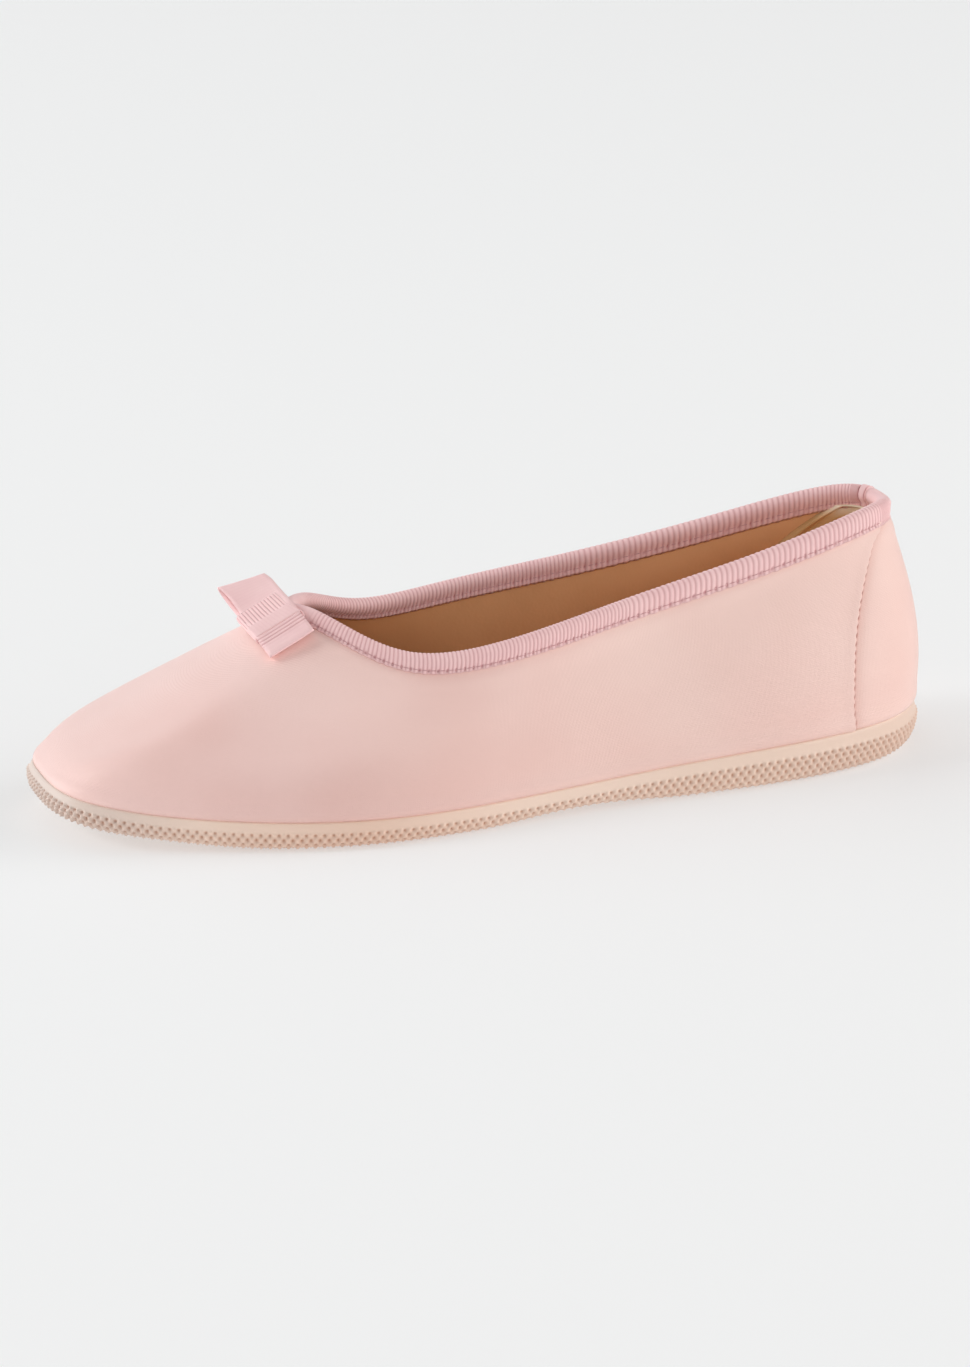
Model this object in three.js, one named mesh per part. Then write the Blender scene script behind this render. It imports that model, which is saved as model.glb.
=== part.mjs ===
// Ballerina house slipper for a left foot, in millimetres.
// +X points to the toe, +Y to the outer side of the foot, +Z up, with the sole's flats on Z = 0.
import * as THREE from 'three';

// Heights of the sole
const toeSpring = 9.0; // lift of the sole's underside at the toe
const toeSpringStart = 185; // from the back of the heel, where the toe begins to lift
const toeSpringRun = 62;
const heelSpring = 2.4; // lift of the underside at the very back
const heelSpringEnd = 24;
const archLift = 1.4; // lift of the underside at the waist
const archMiddle = 106;
const archHalf = 30;
const soleLip = 2.4; // the sole's side stands out this far from the feather line
const bandInset = 0.8; // the smooth band of the side is set back from the textured part

// Thicknesses and gaps
const clearance = 0.3;
const wallThickness = 2.0;
const insoleThickness = 3.0;
const insoleInset = 3.3;
const insoleBevel = 1.9;
const heelPanelDrop = 0.5; // the quarter stands proud of the heel panel by this much

// Binding of the collar
const bindingThickness = 0.8;
const bindingDepth = 4.3; // how far it reaches down each side of the wall
const bindingCrest = 1.2; // height of its top over the wall's edge

// Bow
const ribbonWidth = 14;
const ribbonThickness = 0.6;
const wrapWidth = 13;
const bowSetback = 6.4; // middle of the bow, down the vamp from the edge of the throat
const bowShift = 2.5; // and towards the outer side
const bowSlope = 30; // degrees
const layerGap = 0.2; // between the two layers of the flattened ribbon
const farLoopLength = 20;
const nearLoopLength = 16;
const farLoopRise = 0.3; // slope of the raised loop on the inner side
const nearLoopFall = 0.2; // slope of the drooping loop on the outer side
const loopBulge = 1.8;
const lowerBulge = 0.3; // share of that bulge on the underside of a loop

// Fineness of the meshes
const meridianCount = 96;
const outerSteps = 10;
const innerSteps = 8;

// Sections of the last, from the toe along the outer side to the heel.
// outerX, outerY and innerX, innerY are the feather line, where upper and sole meet, on both sides.
// topX, topY, topZ are the collar's edge; its inner side mirrors the outer one.
// lean (degrees) and foot (mm) shape the wall above the feather line, slope and reach shape it below the collar.
// band is the height of the smooth band on the sole's side.
const sections = [
  { outerX: 243.0, outerY: -5.0, innerX: 243.0, innerY: -5.0, featherZ: 13.7, band: 1.6,
    topX: 174.9, topY: 0.0, topZ: 53.9, lean: 2, foot: 8, slope: 35, reach: 60 },
  { outerX: 236.6, outerY: 15.6, innerX: 236.5, innerY: -24.0, featherZ: 12.3, band: 2.2,
    topX: 170.8, topY: 6.7, topZ: 53.6, lean: 2, foot: 11, slope: 33, reach: 49 },
  { outerX: 209.0, outerY: 29.3, innerX: 211.0, innerY: -36.0, featherZ: 8.4, band: 2.4,
    topX: 161.0, topY: 18.2, topZ: 48.8, lean: 6, foot: 15, slope: 45, reach: 37 },
  { outerX: 168.0, outerY: 40.9, innerX: 172.0, innerY: -37.5, featherZ: 7.0, band: 2.3,
    topX: 145.3, topY: 25.6, topZ: 43.9, lean: 10, foot: 16, slope: 73, reach: 18 },
  { outerX: 126.0, outerY: 38.5, innerX: 126.0, innerY: -28.5, featherZ: 7.0, band: 2.2,
    topX: 119.6, topY: 27.2, topZ: 46.0, lean: 10, foot: 13, slope: 90, reach: 12 },
  { outerX: 86.0, outerY: 34.1, innerX: 86.0, innerY: -27.0, featherZ: 8.7, band: 2.2,
    topX: 85.5, topY: 22.0, topZ: 51.8, lean: 8, foot: 13, slope: 90, reach: 12 },
  { outerX: 48.0, outerY: 32.4, innerX: 50.0, innerY: -28.5, featherZ: 10.5, band: 2.7,
    topX: 49.4, topY: 18.3, topZ: 58.7, lean: 9, foot: 15, slope: 87, reach: 14 },
  { outerX: 15.0, outerY: 22.0, innerX: 17.0, innerY: -22.5, featherZ: 10.9, band: 3.0,
    topX: 18.8, topY: 11.7, topZ: 65.1, lean: 10, foot: 18.2, slope: 82, reach: 18 },
  { outerX: 3.0, outerY: 0.0, innerX: 3.0, innerY: 0.0, featherZ: 11.9, band: 3.6,
    topX: 9.8, topY: 0.0, topZ: 64.7, lean: 10.5, foot: 19.7, slope: 77, reach: 18 },
];

// The seam of the heel panel, as a share of the way round: upright below, leaning back to the collar
const seamFoot = 39 / 96;
const seamLean = 0.048;
const seamCurl = 2.6;
const seamReach = 0.1; // meridians within this share of the way round bend with the seam
const seamWidth = 0.4 / 96;

const fanStep = 0.045; // share of the way round over which the collar's outward direction is smoothed
const lastRow = sections.length - 1;
const rad = Math.PI / 180;
const up = new THREE.Vector3(0, 0, 1);

// A smooth closed curve through values that are evenly spaced round the shoe, as a cubic spline
function roundSpline(values) {
  const count = values.length;
  const bend = values.map(() => 0);
  for (let pass = 0; pass < 40; pass++) {
    for (let i = 0; i < count; i++) {
      const before = (i + count - 1) % count;
      const after = (i + 1) % count;
      const kink = values[before] - 2 * values[i] + values[after];
      bend[i] = (6 * kink - bend[before] - bend[after]) / 4;
    }
  }
  return (turn) => {
    const place = (turn - Math.floor(turn)) * count;
    const i = Math.floor(place) % count;
    const j = (i + 1) % count;
    const far = place - Math.floor(place);
    const near = 1 - far;
    const straight = near * values[i] + far * values[j];
    return straight + ((near ** 3 - near) * bend[i] + (far ** 3 - far) * bend[j]) / 6;
  };
}

// Values of one column for the whole round: the outer side, then back along the inner side
function wholeRound(outer, inner) {
  const values = sections.map(outer);
  for (let row = lastRow - 1; row > 0; row--) {
    values.push(inner(sections[row]));
  }
  return roundSpline(values);
}

function sameBothSides(column) {
  return wholeRound((section) => section[column], (section) => section[column]);
}

const last = {
  featherX: wholeRound((section) => section.outerX, (section) => section.innerX),
  featherY: wholeRound((section) => section.outerY, (section) => section.innerY),
  featherZ: sameBothSides('featherZ'),
  band: sameBothSides('band'),
  topX: sameBothSides('topX'),
  topY: wholeRound((section) => section.topY, (section) => -section.topY),
  topZ: sameBothSides('topZ'),
  lean: sameBothSides('lean'),
  foot: sameBothSides('foot'),
  slope: sameBothSides('slope'),
  reach: sameBothSides('reach'),
};

function featherPoint(turn) {
  return new THREE.Vector3(last.featherX(turn), last.featherY(turn), last.featherZ(turn));
}

function topPoint(turn) {
  return new THREE.Vector3(last.topX(turn), last.topY(turn), last.topZ(turn));
}

// Level direction that points out of a closed curve, smoothed over a step to either side
function outward(curve, turn, step = 0.004) {
  const along = curve(turn + step).sub(curve(turn - step));
  return new THREE.Vector3(along.y, -along.x, 0).normalize();
}

// A point of the upper's outer face: turn goes round the shoe, rise from the feather line to the collar
function wallPoint(turn, rise) {
  const start = featherPoint(turn);
  const end = topPoint(turn);
  const lean = last.lean(turn) * rad;
  const slope = last.slope(turn) * rad;
  const firstHandle = outward(featherPoint, turn).multiplyScalar(Math.sin(lean));
  firstHandle.addScaledVector(up, Math.cos(lean)).multiplyScalar(last.foot(turn)).add(start);
  const lastHandle = collarDirection(turn, slope).multiplyScalar(-last.reach(turn)).add(end);
  const fall = 1 - rise;
  const point = start.multiplyScalar(fall ** 3);
  point.addScaledVector(firstHandle, 3 * fall * fall * rise);
  point.addScaledVector(lastHandle, 3 * fall * rise * rise);
  return point.addScaledVector(end, rise ** 3);
}

// Direction in which the wall runs up into the collar's edge
function collarDirection(turn, slope = last.slope(turn) * rad) {
  const direction = outward(topPoint, turn, fanStep).multiplyScalar(-Math.cos(slope));
  return direction.addScaledVector(up, Math.sin(slope));
}

function wallNormal(turn, rise) {
  const turnStep = 0.003;
  const low = Math.max(0, rise - 0.01);
  const high = Math.min(1, rise + 0.01);
  const round = wallPoint(turn + turnStep, rise).sub(wallPoint(turn - turnStep, rise));
  const upward = wallPoint(turn, high).sub(wallPoint(turn, low));
  return round.cross(upward).normalize();
}

function shellPoint(turn, rise, out) {
  return wallPoint(turn, rise).addScaledVector(wallNormal(turn, rise), out);
}

// Height along the wall, as a share, that lies a given depth below the collar's edge
function riseBelowCollar(turn, depth) {
  return 1 - depth / (3 * last.reach(turn));
}

// Meridians of the meshes, with a second one beside each seam of the heel panel
function meridianTurns() {
  const turns = [];
  for (let i = 0; i < meridianCount; i++) {
    turns.push(i / meridianCount);
  }
  turns.push(seamFoot + seamWidth, 1 - seamFoot - seamWidth);
  return turns.sort((a, b) => a - b);
}
const turns = meridianTurns();

// Near the seams the meridians lean back with them
function bentTurn(turn, rise) {
  const side = turn < 0.5 ? turn : 1 - turn;
  const ahead = Math.max(0, 1 - Math.abs(side - seamFoot) / seamReach);
  const behind = Math.max(0, (0.5 - side) / (0.5 - seamFoot));
  const share = side < seamFoot ? ahead : behind;
  const visible = Math.min(rise, riseBelowCollar(turn, bindingDepth));
  const bent = side + share * seamLean * visible ** seamCurl;
  return turn < 0.5 ? bent : 1 - bent;
}

function onHeelPanel(turn) {
  return Math.abs(turn - 0.5) < 0.5 - seamFoot - seamWidth / 2;
}

// Share of the wall's height at one step of many: even steps up to the binding's lower edge, then the collar
function wallRise(turn, step, steps) {
  return step === steps ? 1 : (riseBelowCollar(turn, bindingDepth) * step) / (steps - 1);
}

function upperRing(step, steps, out) {
  return turns.map((turn) => {
    const rise = wallRise(turn, step, steps);
    const drop = onHeelPanel(turn) && out >= 0 ? heelPanelDrop : 0;
    return shellPoint(bentTurn(turn, rise), rise, out - drop);
  });
}

// Height of the sole's underside at a distance x from the back of the heel
function undersideHeight(x) {
  const toe = Math.max(0, (x - toeSpringStart) / toeSpringRun) ** 2 * toeSpring;
  const heel = Math.max(0, (heelSpringEnd - x) / heelSpringEnd) ** 2 * heelSpring;
  const waist = Math.max(0, 1 - ((x - archMiddle) / archHalf) ** 2) ** 2 * archLift;
  return toe + heel + waist;
}

// A ring that runs level outside (or inside) the feather line, at a height given for each meridian
function soleRing(out, height) {
  return turns.map((turn) => {
    const point = featherPoint(turn).addScaledVector(outward(featherPoint, turn), out);
    point.z = height(turn, undersideHeight(point.x), last.featherZ(turn));
    return point;
  });
}

// Triangles between two neighbouring rings of equal length, given as first indices
function joinRings(faces, first, second, count) {
  for (let i = 0; i < count; i++) {
    const j = (i + 1) % count;
    faces.push([first + i, first + j, second + j], [first + i, second + j, second + i]);
  }
}

// Closes a ring by rungs from each point to its partner on the other side
function closeRing(faces, first, count, upwards) {
  for (let i = 0; i < count / 2; i++) {
    const quad = [first + i, first + i + 1, first + ((count - i - 1) % count), first + ((count - i) % count)];
    const halves = [[quad[0], quad[1], quad[2]], [quad[0], quad[2], quad[3]]];
    for (const half of halves) {
      if (new Set(half).size === 3) {
        faces.push(upwards ? half : half.reverse());
      }
    }
  }
}

function meshOf(points, faces) {
  const geometry = new THREE.BufferGeometry();
  const numbers = points.flatMap((point) => [point.x, point.y, point.z]);
  geometry.setAttribute('position', new THREE.Float32BufferAttribute(numbers, 3));
  geometry.setIndex(faces.flat());
  geometry.computeVertexNormals();
  return geometry;
}

// A hollow band that closes on itself both ways: each ring joins the next, and the last joins the first
function bandGeometry(rings) {
  const count = rings[0].length;
  const faces = [];
  for (let k = 0; k < rings.length; k++) {
    joinRings(faces, k * count, ((k + 1) % rings.length) * count, count);
  }
  return meshOf(rings.flat(), faces);
}

// A solid stack of rings from its underside to its top, closed at both ends
function stackGeometry(rings) {
  const count = rings[0].length;
  const faces = [];
  for (let k = 0; k + 1 < rings.length; k++) {
    joinRings(faces, k * count, (k + 1) * count, count);
  }
  closeRing(faces, 0, count, false);
  closeRing(faces, (rings.length - 1) * count, count, true);
  return meshOf(rings.flat(), faces);
}

// A plate over a grid of places: face(row, column, side) gives its outer (1) and inner (0) points
function plateGeometry(rows, columns, face) {
  const points = [];
  const faces = [];
  const index = (row, column, side) => (side * (rows + 1) + row) * (columns + 1) + column;
  for (const side of [0, 1]) {
    for (let row = 0; row <= rows; row++) {
      for (let column = 0; column <= columns; column++) {
        points.push(face(row, column, side));
      }
    }
  }
  const quad = (a, b, c, d) => faces.push([a, b, c], [a, c, d]);
  for (let row = 0; row < rows; row++) {
    for (let column = 0; column < columns; column++) {
      quad(index(row, column, 1), index(row, column + 1, 1), index(row + 1, column + 1, 1), index(row + 1, column, 1));
      quad(index(row, column, 0), index(row + 1, column, 0), index(row + 1, column + 1, 0), index(row, column + 1, 0));
    }
  }
  for (let column = 0; column < columns; column++) {
    quad(index(0, column, 0), index(0, column + 1, 0), index(0, column + 1, 1), index(0, column, 1));
    quad(index(rows, column, 1), index(rows, column + 1, 1), index(rows, column + 1, 0), index(rows, column, 0));
  }
  for (let row = 0; row < rows; row++) {
    quad(index(row, 0, 1), index(row + 1, 0, 1), index(row + 1, 0, 0), index(row, 0, 0));
    quad(index(row, columns, 0), index(row + 1, columns, 0), index(row + 1, columns, 1), index(row, columns, 1));
  }
  return meshOf(points, faces);
}

// Rubber unit sole: domed underside edge, textured side, a step back to the smooth band, rounded top edge
function outsoleGeometry() {
  const stepHeight = (turn, feather) => feather - clearance - last.band(turn);
  const rings = [
    soleRing(-2.2, (turn, ground) => ground),
    soleRing(soleLip - 2.1, (turn, ground) => ground + 0.4),
    soleRing(soleLip - 0.6, (turn, ground) => ground + 1.6),
    soleRing(soleLip, (turn, ground, feather) => (ground + 1.6 + stepHeight(turn, feather)) / 2),
    soleRing(soleLip - 0.1, (turn, ground, feather) => stepHeight(turn, feather) - 0.25),
    soleRing(soleLip - bandInset, (turn, ground, feather) => stepHeight(turn, feather) + 0.2),
    soleRing(soleLip - bandInset, (turn, ground, feather) => feather - clearance - 0.7),
    soleRing(soleLip - bandInset - 0.7, (turn, ground, feather) => feather - clearance),
  ];
  return stackGeometry(rings);
}

// Footbed that fills the bottom of the upper from wall to wall
function insoleGeometry() {
  return stackGeometry([
    soleRing(-insoleInset, (turn, ground, feather) => feather),
    soleRing(-insoleInset, (turn, ground, feather) => feather + 0.5 * insoleThickness),
    soleRing(-insoleInset - insoleBevel, (turn, ground, feather) => feather + insoleThickness),
  ]);
}

// Upper: outer face from the feather line to the collar, then back down the inner face
function upperGeometry() {
  const rings = [];
  for (let step = 0; step <= outerSteps; step++) {
    rings.push(upperRing(step, outerSteps, 0));
  }
  for (let step = innerSteps; step >= 0; step--) {
    rings.push(upperRing(step, innerSteps, -wallThickness));
  }
  return bandGeometry(rings);
}

// Ribbon folded over the collar's edge, down both faces of the wall
function bindingGeometry() {
  const outside = clearance + bindingThickness;
  const inside = -wallThickness - clearance;
  const leg = (out) => turns.map((turn) => {
    const rise = riseBelowCollar(turn, bindingDepth);
    return shellPoint(bentTurn(turn, rise), rise, out);
  });
  const crest = (height, out) => turns.map((turn) => {
    const bent = bentTurn(turn, 1);
    return shellPoint(bent, 1, out).addScaledVector(collarDirection(bent), height);
  });
  return bandGeometry([
    leg(outside),
    crest(0.4, outside),
    crest(bindingCrest, -0.3 * wallThickness),
    crest(bindingCrest, -0.7 * wallThickness),
    crest(0.4, inside - bindingThickness),
    leg(inside - bindingThickness),
    leg(inside),
    crest(clearance, inside),
    crest(clearance, clearance),
    leg(clearance),
  ]);
}

// Pale grip patch on the inside of the heel, just under the binding
function heelLiningGeometry() {
  const columns = 20;
  const rows = 5;
  const reach = 0.115; // share of the way round on each side of the heel
  const lowest = 0.5;
  const highest = 0.88;
  const back = -wallThickness - 2 * clearance;
  return plateGeometry(rows, columns, (row, column, side) => {
    const turn = 0.5 - reach + (2 * reach * column) / columns;
    const rise = lowest + ((highest - lowest) * row) / rows;
    return shellPoint(turn, rise, side ? back : back - 0.9);
  });
}

// Place of the bow: on the vamp's ridge, its ribbon's width running down the ridge
function bowFrame() {
  const slope = bowSlope * rad;
  const ridge = new THREE.Vector3(Math.cos(slope), 0, -Math.sin(slope));
  const across = new THREE.Vector3(0, 1, 0);
  const over = ridge.clone().cross(across).normalize();
  const middle = topPoint(0).addScaledVector(ridge, bowSetback).addScaledVector(across, bowShift);
  return { ridge, across, over, middle };
}

// Height of the middle of the folded ribbon over the vamp, for a place across the bow
const pinchHalf = ribbonThickness + layerGap / 2;
const pinchEnd = wrapWidth / 2 + 3 * clearance;
const layerHeight = bindingThickness + 2 * clearance + pinchHalf;
function bowMiddle(across) {
  const far = Math.max(0, -across - pinchEnd) * farLoopRise;
  const near = Math.max(0, across) * nearLoopFall;
  return layerHeight + far - near;
}

// Half the thickness of the folded ribbon: pinched under the wrap, swelling in each loop, round at the fold
function bowHalf(across, side) {
  const length = across < 0 ? farLoopLength : nearLoopLength;
  const share = Math.min(1, Math.max(0, (Math.abs(across) - pinchEnd) / (length - pinchEnd)));
  const swell = loopBulge * Math.sin(0.8 * Math.PI * share) * (side > 0 ? 1 : lowerBulge);
  return (pinchHalf + swell) * Math.sqrt(1 - share ** 6);
}

// Outline of the folded ribbon, in places across the bow and over the vamp, round both loops
function ribbonOutline(share) {
  const angle = 2 * Math.PI * share;
  const span = farLoopLength + nearLoopLength;
  const across = (nearLoopLength - farLoopLength) / 2 + (span / 2) * Math.cos(angle);
  const side = Math.sin(angle) < 0 ? -1 : 1;
  return new THREE.Vector2(across, bowMiddle(across) + side * bowHalf(across, side));
}

// Ribbon of the bow: one strip that closes on itself, flattened, with a hollow loop on each side
function ribbonGeometry() {
  const frame = bowFrame();
  const count = 64;
  const ring = (along, inset) => {
    const points = [];
    for (let i = 0; i < count; i++) {
      const place = ribbonOutline(i / count);
      const next = ribbonOutline((i + 0.3) / count).sub(ribbonOutline((i - 0.3) / count)).normalize();
      const across = place.x - next.y * inset;
      const over = place.y + next.x * inset;
      const point = frame.middle.clone().addScaledVector(frame.across, across);
      points.push(point.addScaledVector(frame.over, over).addScaledVector(frame.ridge, along));
    }
    return points;
  };
  const edge = ribbonWidth / 2;
  return bandGeometry([ring(-edge, 0), ring(edge, 0), ring(edge, ribbonThickness), ring(-edge, ribbonThickness)]);
}

// Wrap over the middle of the bow: an arch whose ends go down to the vamp and to the binding
function wrapGeometry() {
  const frame = bowFrame();
  const half = ribbonWidth / 2 + clearance;
  const top = pinchHalf + clearance;
  const thick = ribbonThickness;
  const round = 0.4;
  const toeFoot = 0.6 - layerHeight;
  const collarFoot = bindingThickness + 2 * clearance - layerHeight;
  const arch = [
    { inner: [half, toeFoot], outer: [half + thick, toeFoot] },
    { inner: [half, top - round], outer: [half + thick, top] },
    { inner: [half - round, top], outer: [half - round, top + thick] },
    { inner: [round - half, top], outer: [round - half, top + thick] },
    { inner: [-half, top - round], outer: [-half - thick, top] },
    { inner: [-half, collarFoot], outer: [-half - thick, collarFoot] },
  ];
  const columns = 6;
  return plateGeometry(arch.length - 1, columns, (row, column, side) => {
    const across = wrapWidth * (column / columns - 0.5);
    const [along, over] = side ? arch[row].outer : arch[row].inner;
    const point = frame.middle.clone().addScaledVector(frame.across, across);
    return point.addScaledVector(frame.ridge, along).addScaledVector(frame.over, over + bowMiddle(across));
  });
}

const fabricPink = { color: 0xe5c2ba, roughness: 0.62, metalness: 0 };
const rosePink = { color: 0xe1b8b8, roughness: 0.8, metalness: 0 };
const rubberBeige = { color: 0xd5b5a1, roughness: 0.7, metalness: 0 };
const liningTan = { color: 0x8e5c3d, roughness: 0.65, metalness: 0 };
const gripCream = { color: 0xcfbcaf, roughness: 0.85, metalness: 0 };

const pieces = [
  { name: 'outsole', geometry: outsoleGeometry(), look: rubberBeige },
  { name: 'insole', geometry: insoleGeometry(), look: liningTan },
  { name: 'upper', geometry: upperGeometry(), look: fabricPink },
  { name: 'collar_binding', geometry: bindingGeometry(), look: rosePink },
  { name: 'heel_lining', geometry: heelLiningGeometry(), look: gripCream },
  { name: 'bow_ribbon', geometry: ribbonGeometry(), look: rosePink },
  { name: 'bow_wrap', geometry: wrapGeometry(), look: rosePink },
];

const slipper = new THREE.Group();
for (const piece of pieces) {
  const mesh = new THREE.Mesh(piece.geometry, new THREE.MeshStandardMaterial(piece.look));
  mesh.name = piece.name;
  slipper.add(mesh);
}

// The origin lies on the floor under the middle of the sole
const soleBox = new THREE.Box3().setFromObject(slipper.children[0]);
const soleMiddle = soleBox.getCenter(new THREE.Vector3());
for (const mesh of slipper.children) {
  mesh.position.set(-soleMiddle.x, -soleMiddle.y, 0);
}

export default slipper;
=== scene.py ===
import math

import bmesh
import bpy
import numpy as np
from mathutils import Matrix, Vector


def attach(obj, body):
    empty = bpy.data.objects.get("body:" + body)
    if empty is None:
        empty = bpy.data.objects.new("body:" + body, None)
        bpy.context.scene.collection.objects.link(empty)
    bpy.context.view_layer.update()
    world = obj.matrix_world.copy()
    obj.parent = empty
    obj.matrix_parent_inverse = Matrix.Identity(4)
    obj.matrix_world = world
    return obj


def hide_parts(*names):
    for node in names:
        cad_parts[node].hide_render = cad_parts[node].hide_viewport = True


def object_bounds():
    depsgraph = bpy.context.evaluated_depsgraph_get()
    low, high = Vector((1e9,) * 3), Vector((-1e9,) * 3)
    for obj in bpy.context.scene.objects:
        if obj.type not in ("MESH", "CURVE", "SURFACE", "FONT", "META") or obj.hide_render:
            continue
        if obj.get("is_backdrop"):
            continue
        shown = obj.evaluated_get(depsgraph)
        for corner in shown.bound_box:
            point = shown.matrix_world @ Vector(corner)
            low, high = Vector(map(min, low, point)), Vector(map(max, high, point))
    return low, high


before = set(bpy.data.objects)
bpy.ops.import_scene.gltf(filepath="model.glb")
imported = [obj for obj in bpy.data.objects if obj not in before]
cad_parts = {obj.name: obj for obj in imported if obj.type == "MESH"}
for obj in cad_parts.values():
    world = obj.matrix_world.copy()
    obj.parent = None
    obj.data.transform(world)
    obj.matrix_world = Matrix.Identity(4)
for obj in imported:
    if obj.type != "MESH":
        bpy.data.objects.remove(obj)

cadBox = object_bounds()

# Ballerina house slipper for a left foot
# Shapes are worked out in millimetres from the back of the heel, with +X to the toe, +Y to the outer side
# and +Z up, and are moved to the frame's metres as they become meshes

# One row per section of the last, from the toe along the outer side to the heel
lastColumns = ("outerX", "outerY", "innerX", "innerY", "featherZ", "band",
               "topX", "topY", "topZ", "lean", "foot", "slope", "reach")
lastRows = (
    (243.0, -5.0, 243.0, -5.0, 13.7, 1.6, 174.9, 0.0, 53.9, 2.0, 8.0, 35.0, 60.0),
    (236.6, 15.6, 236.5, -24.0, 12.3, 2.2, 170.8, 6.7, 53.6, 2.0, 11.0, 33.0, 49.0),
    (209.0, 29.3, 211.0, -36.0, 8.4, 2.4, 161.0, 18.2, 48.8, 6.0, 15.0, 45.0, 37.0),
    (168.0, 40.9, 172.0, -37.5, 7.0, 2.3, 145.3, 25.6, 43.9, 10.0, 16.0, 73.0, 18.0),
    (126.0, 38.5, 126.0, -28.5, 7.0, 2.2, 119.6, 27.2, 46.0, 10.0, 13.0, 90.0, 12.0),
    (86.0, 34.1, 86.0, -27.0, 8.7, 2.2, 85.5, 22.0, 51.8, 8.0, 13.0, 90.0, 12.0),
    (48.0, 32.4, 50.0, -28.5, 10.5, 2.7, 49.4, 18.3, 58.7, 9.0, 15.0, 87.0, 14.0),
    (15.0, 22.0, 17.0, -22.5, 10.9, 3.0, 18.8, 11.7, 65.1, 10.0, 18.2, 82.0, 18.0),
    (3.0, 0.0, 3.0, 0.0, 11.9, 3.6, 9.8, 0.0, 64.7, 10.5, 19.7, 77.0, 18.0),
)
shoe = {
    "wall": 2.0, "clearance": 0.3, "bindingDepth": 4.3, "soleLip": 2.4, "soleMarks": 98,
    "seamFoot": 39 / 96, "seamLean": 0.048, "seamCurl": 2.6, "seamShift": 0.0014, "seamHook": 0.006,
    "hookFrom": 0.84, "hookTo": 0.94, "seamReach": 0.1, "heelPanelDrop": 0.5,
    "toeSpring": 9.0, "toeSpringStart": 185.0, "toeSpringRun": 62.0, "heelSpring": 2.4, "heelSpringEnd": 24.0,
    "archLift": 1.4, "archMiddle": 106.0, "archHalf": 30.0,
}
# Small steps along a surface's two parameters for its directions, and places at which a length is measured
measure = {"level": 0.004, "fan": 0.045, "turn": 0.003, "rise": 0.01, "speed": 0.002,
           "collarMarks": 4001, "sectionMarks": 2001, "weld": 1e-6}


def roundSpline(values):
    # A closed cubic spline through evenly spaced values: the second differences solve one cyclic system
    values = np.array(values, float)
    count = len(values)
    ring = 4 * np.eye(count) + np.roll(np.eye(count), 1, axis=0) + np.roll(np.eye(count), -1, axis=0)
    bend = np.linalg.solve(ring, 6 * (np.roll(values, 1) - 2 * values + np.roll(values, -1)))

    def at(turn):
        place = (np.asarray(turn, float) % 1.0) * count
        low = np.floor(place).astype(int) % count
        high = (low + 1) % count
        far = place - np.floor(place)
        near = 1 - far
        straight = near * values[low] + far * values[high]
        return straight + ((near ** 3 - near) * bend[low] + (far ** 3 - far) * bend[high]) / 6
    return at


def lastCurve(outer, inner=None, mirror=1.0):
    # The outer side's column from toe to heel, then the inner side's back to the toe
    first = [row[lastColumns.index(outer)] for row in lastRows]
    second = [mirror * row[lastColumns.index(inner or outer)] for row in lastRows]
    return roundSpline(first + second[-2:0:-1])


last = {name: lastCurve(name) for name in lastColumns[4:]}
last["topY"] = lastCurve("topY", mirror=-1.0)
last["featherX"] = lastCurve("outerX", "innerX")
last["featherY"] = lastCurve("outerY", "innerY")


def stack3(x, y, z):
    return np.stack(np.broadcast_arrays(x, y, z), axis=-1).astype(float)


def unit(vectors):
    return vectors / np.maximum(np.linalg.norm(vectors, axis=-1, keepdims=True), 1e-12)


def ease(low, high, value):
    # 0 up to low, 1 from high on, and a smooth step between them
    share = np.clip((np.asarray(value, float) - low) / (high - low), 0, 1)
    return share * share * (3 - 2 * share)


def hump(value, middle, width):
    return np.exp(-((value - middle) / width) ** 2)


def beats(value, pitch):
    # 1 at every pitch, 0 half way between
    return 0.5 + 0.5 * np.cos(2 * np.pi * value / pitch)


def fromToe(turn):
    # Turns from the toe along the nearer side
    return np.minimum(turn, 1 - turn)


def featherPoint(turn):
    return stack3(last["featherX"](turn), last["featherY"](turn), last["featherZ"](turn))


def topPoint(turn):
    return stack3(last["topX"](turn), last["topY"](turn), last["topZ"](turn))


def outward(curve, turn, step=measure["level"]):
    # Level direction that points out of a closed curve
    along = curve(turn + step) - curve(turn - step)
    return unit(stack3(along[..., 1], -along[..., 0], 0))


def collarDirection(turn):
    # Direction in which the wall runs up into the collar's edge
    slope = np.radians(last["slope"](turn))[..., None]
    return -np.cos(slope) * outward(topPoint, turn, measure["fan"]) + np.sin(slope) * np.array([0, 0, 1.0])


def wallPoint(turn, rise):
    # Each meridian is a cubic Bezier from the feather line to the collar, with a handle at either end
    turn, rise = np.broadcast_arrays(np.asarray(turn, float), np.asarray(rise, float))
    lean = np.radians(last["lean"](turn))[..., None]
    start, end = featherPoint(turn), topPoint(turn)
    lift = np.sin(lean) * outward(featherPoint, turn) + np.cos(lean) * np.array([0, 0, 1.0])
    first = start + last["foot"](turn)[..., None] * lift
    second = end - last["reach"](turn)[..., None] * collarDirection(turn)
    rise = rise[..., None]
    fall = 1 - rise
    return fall ** 3 * start + 3 * fall ** 2 * rise * first + 3 * fall * rise ** 2 * second + rise ** 3 * end


def wallNormal(turn, rise):
    # Cross product of the two directions of the wall, round the shoe and up it
    low, high = np.maximum(0, rise - measure["rise"]), np.minimum(1, rise + measure["rise"])
    around = wallPoint(turn + measure["turn"], rise) - wallPoint(turn - measure["turn"], rise)
    upward = wallPoint(turn, high) - wallPoint(turn, low)
    return unit(np.cross(around, upward))


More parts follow.
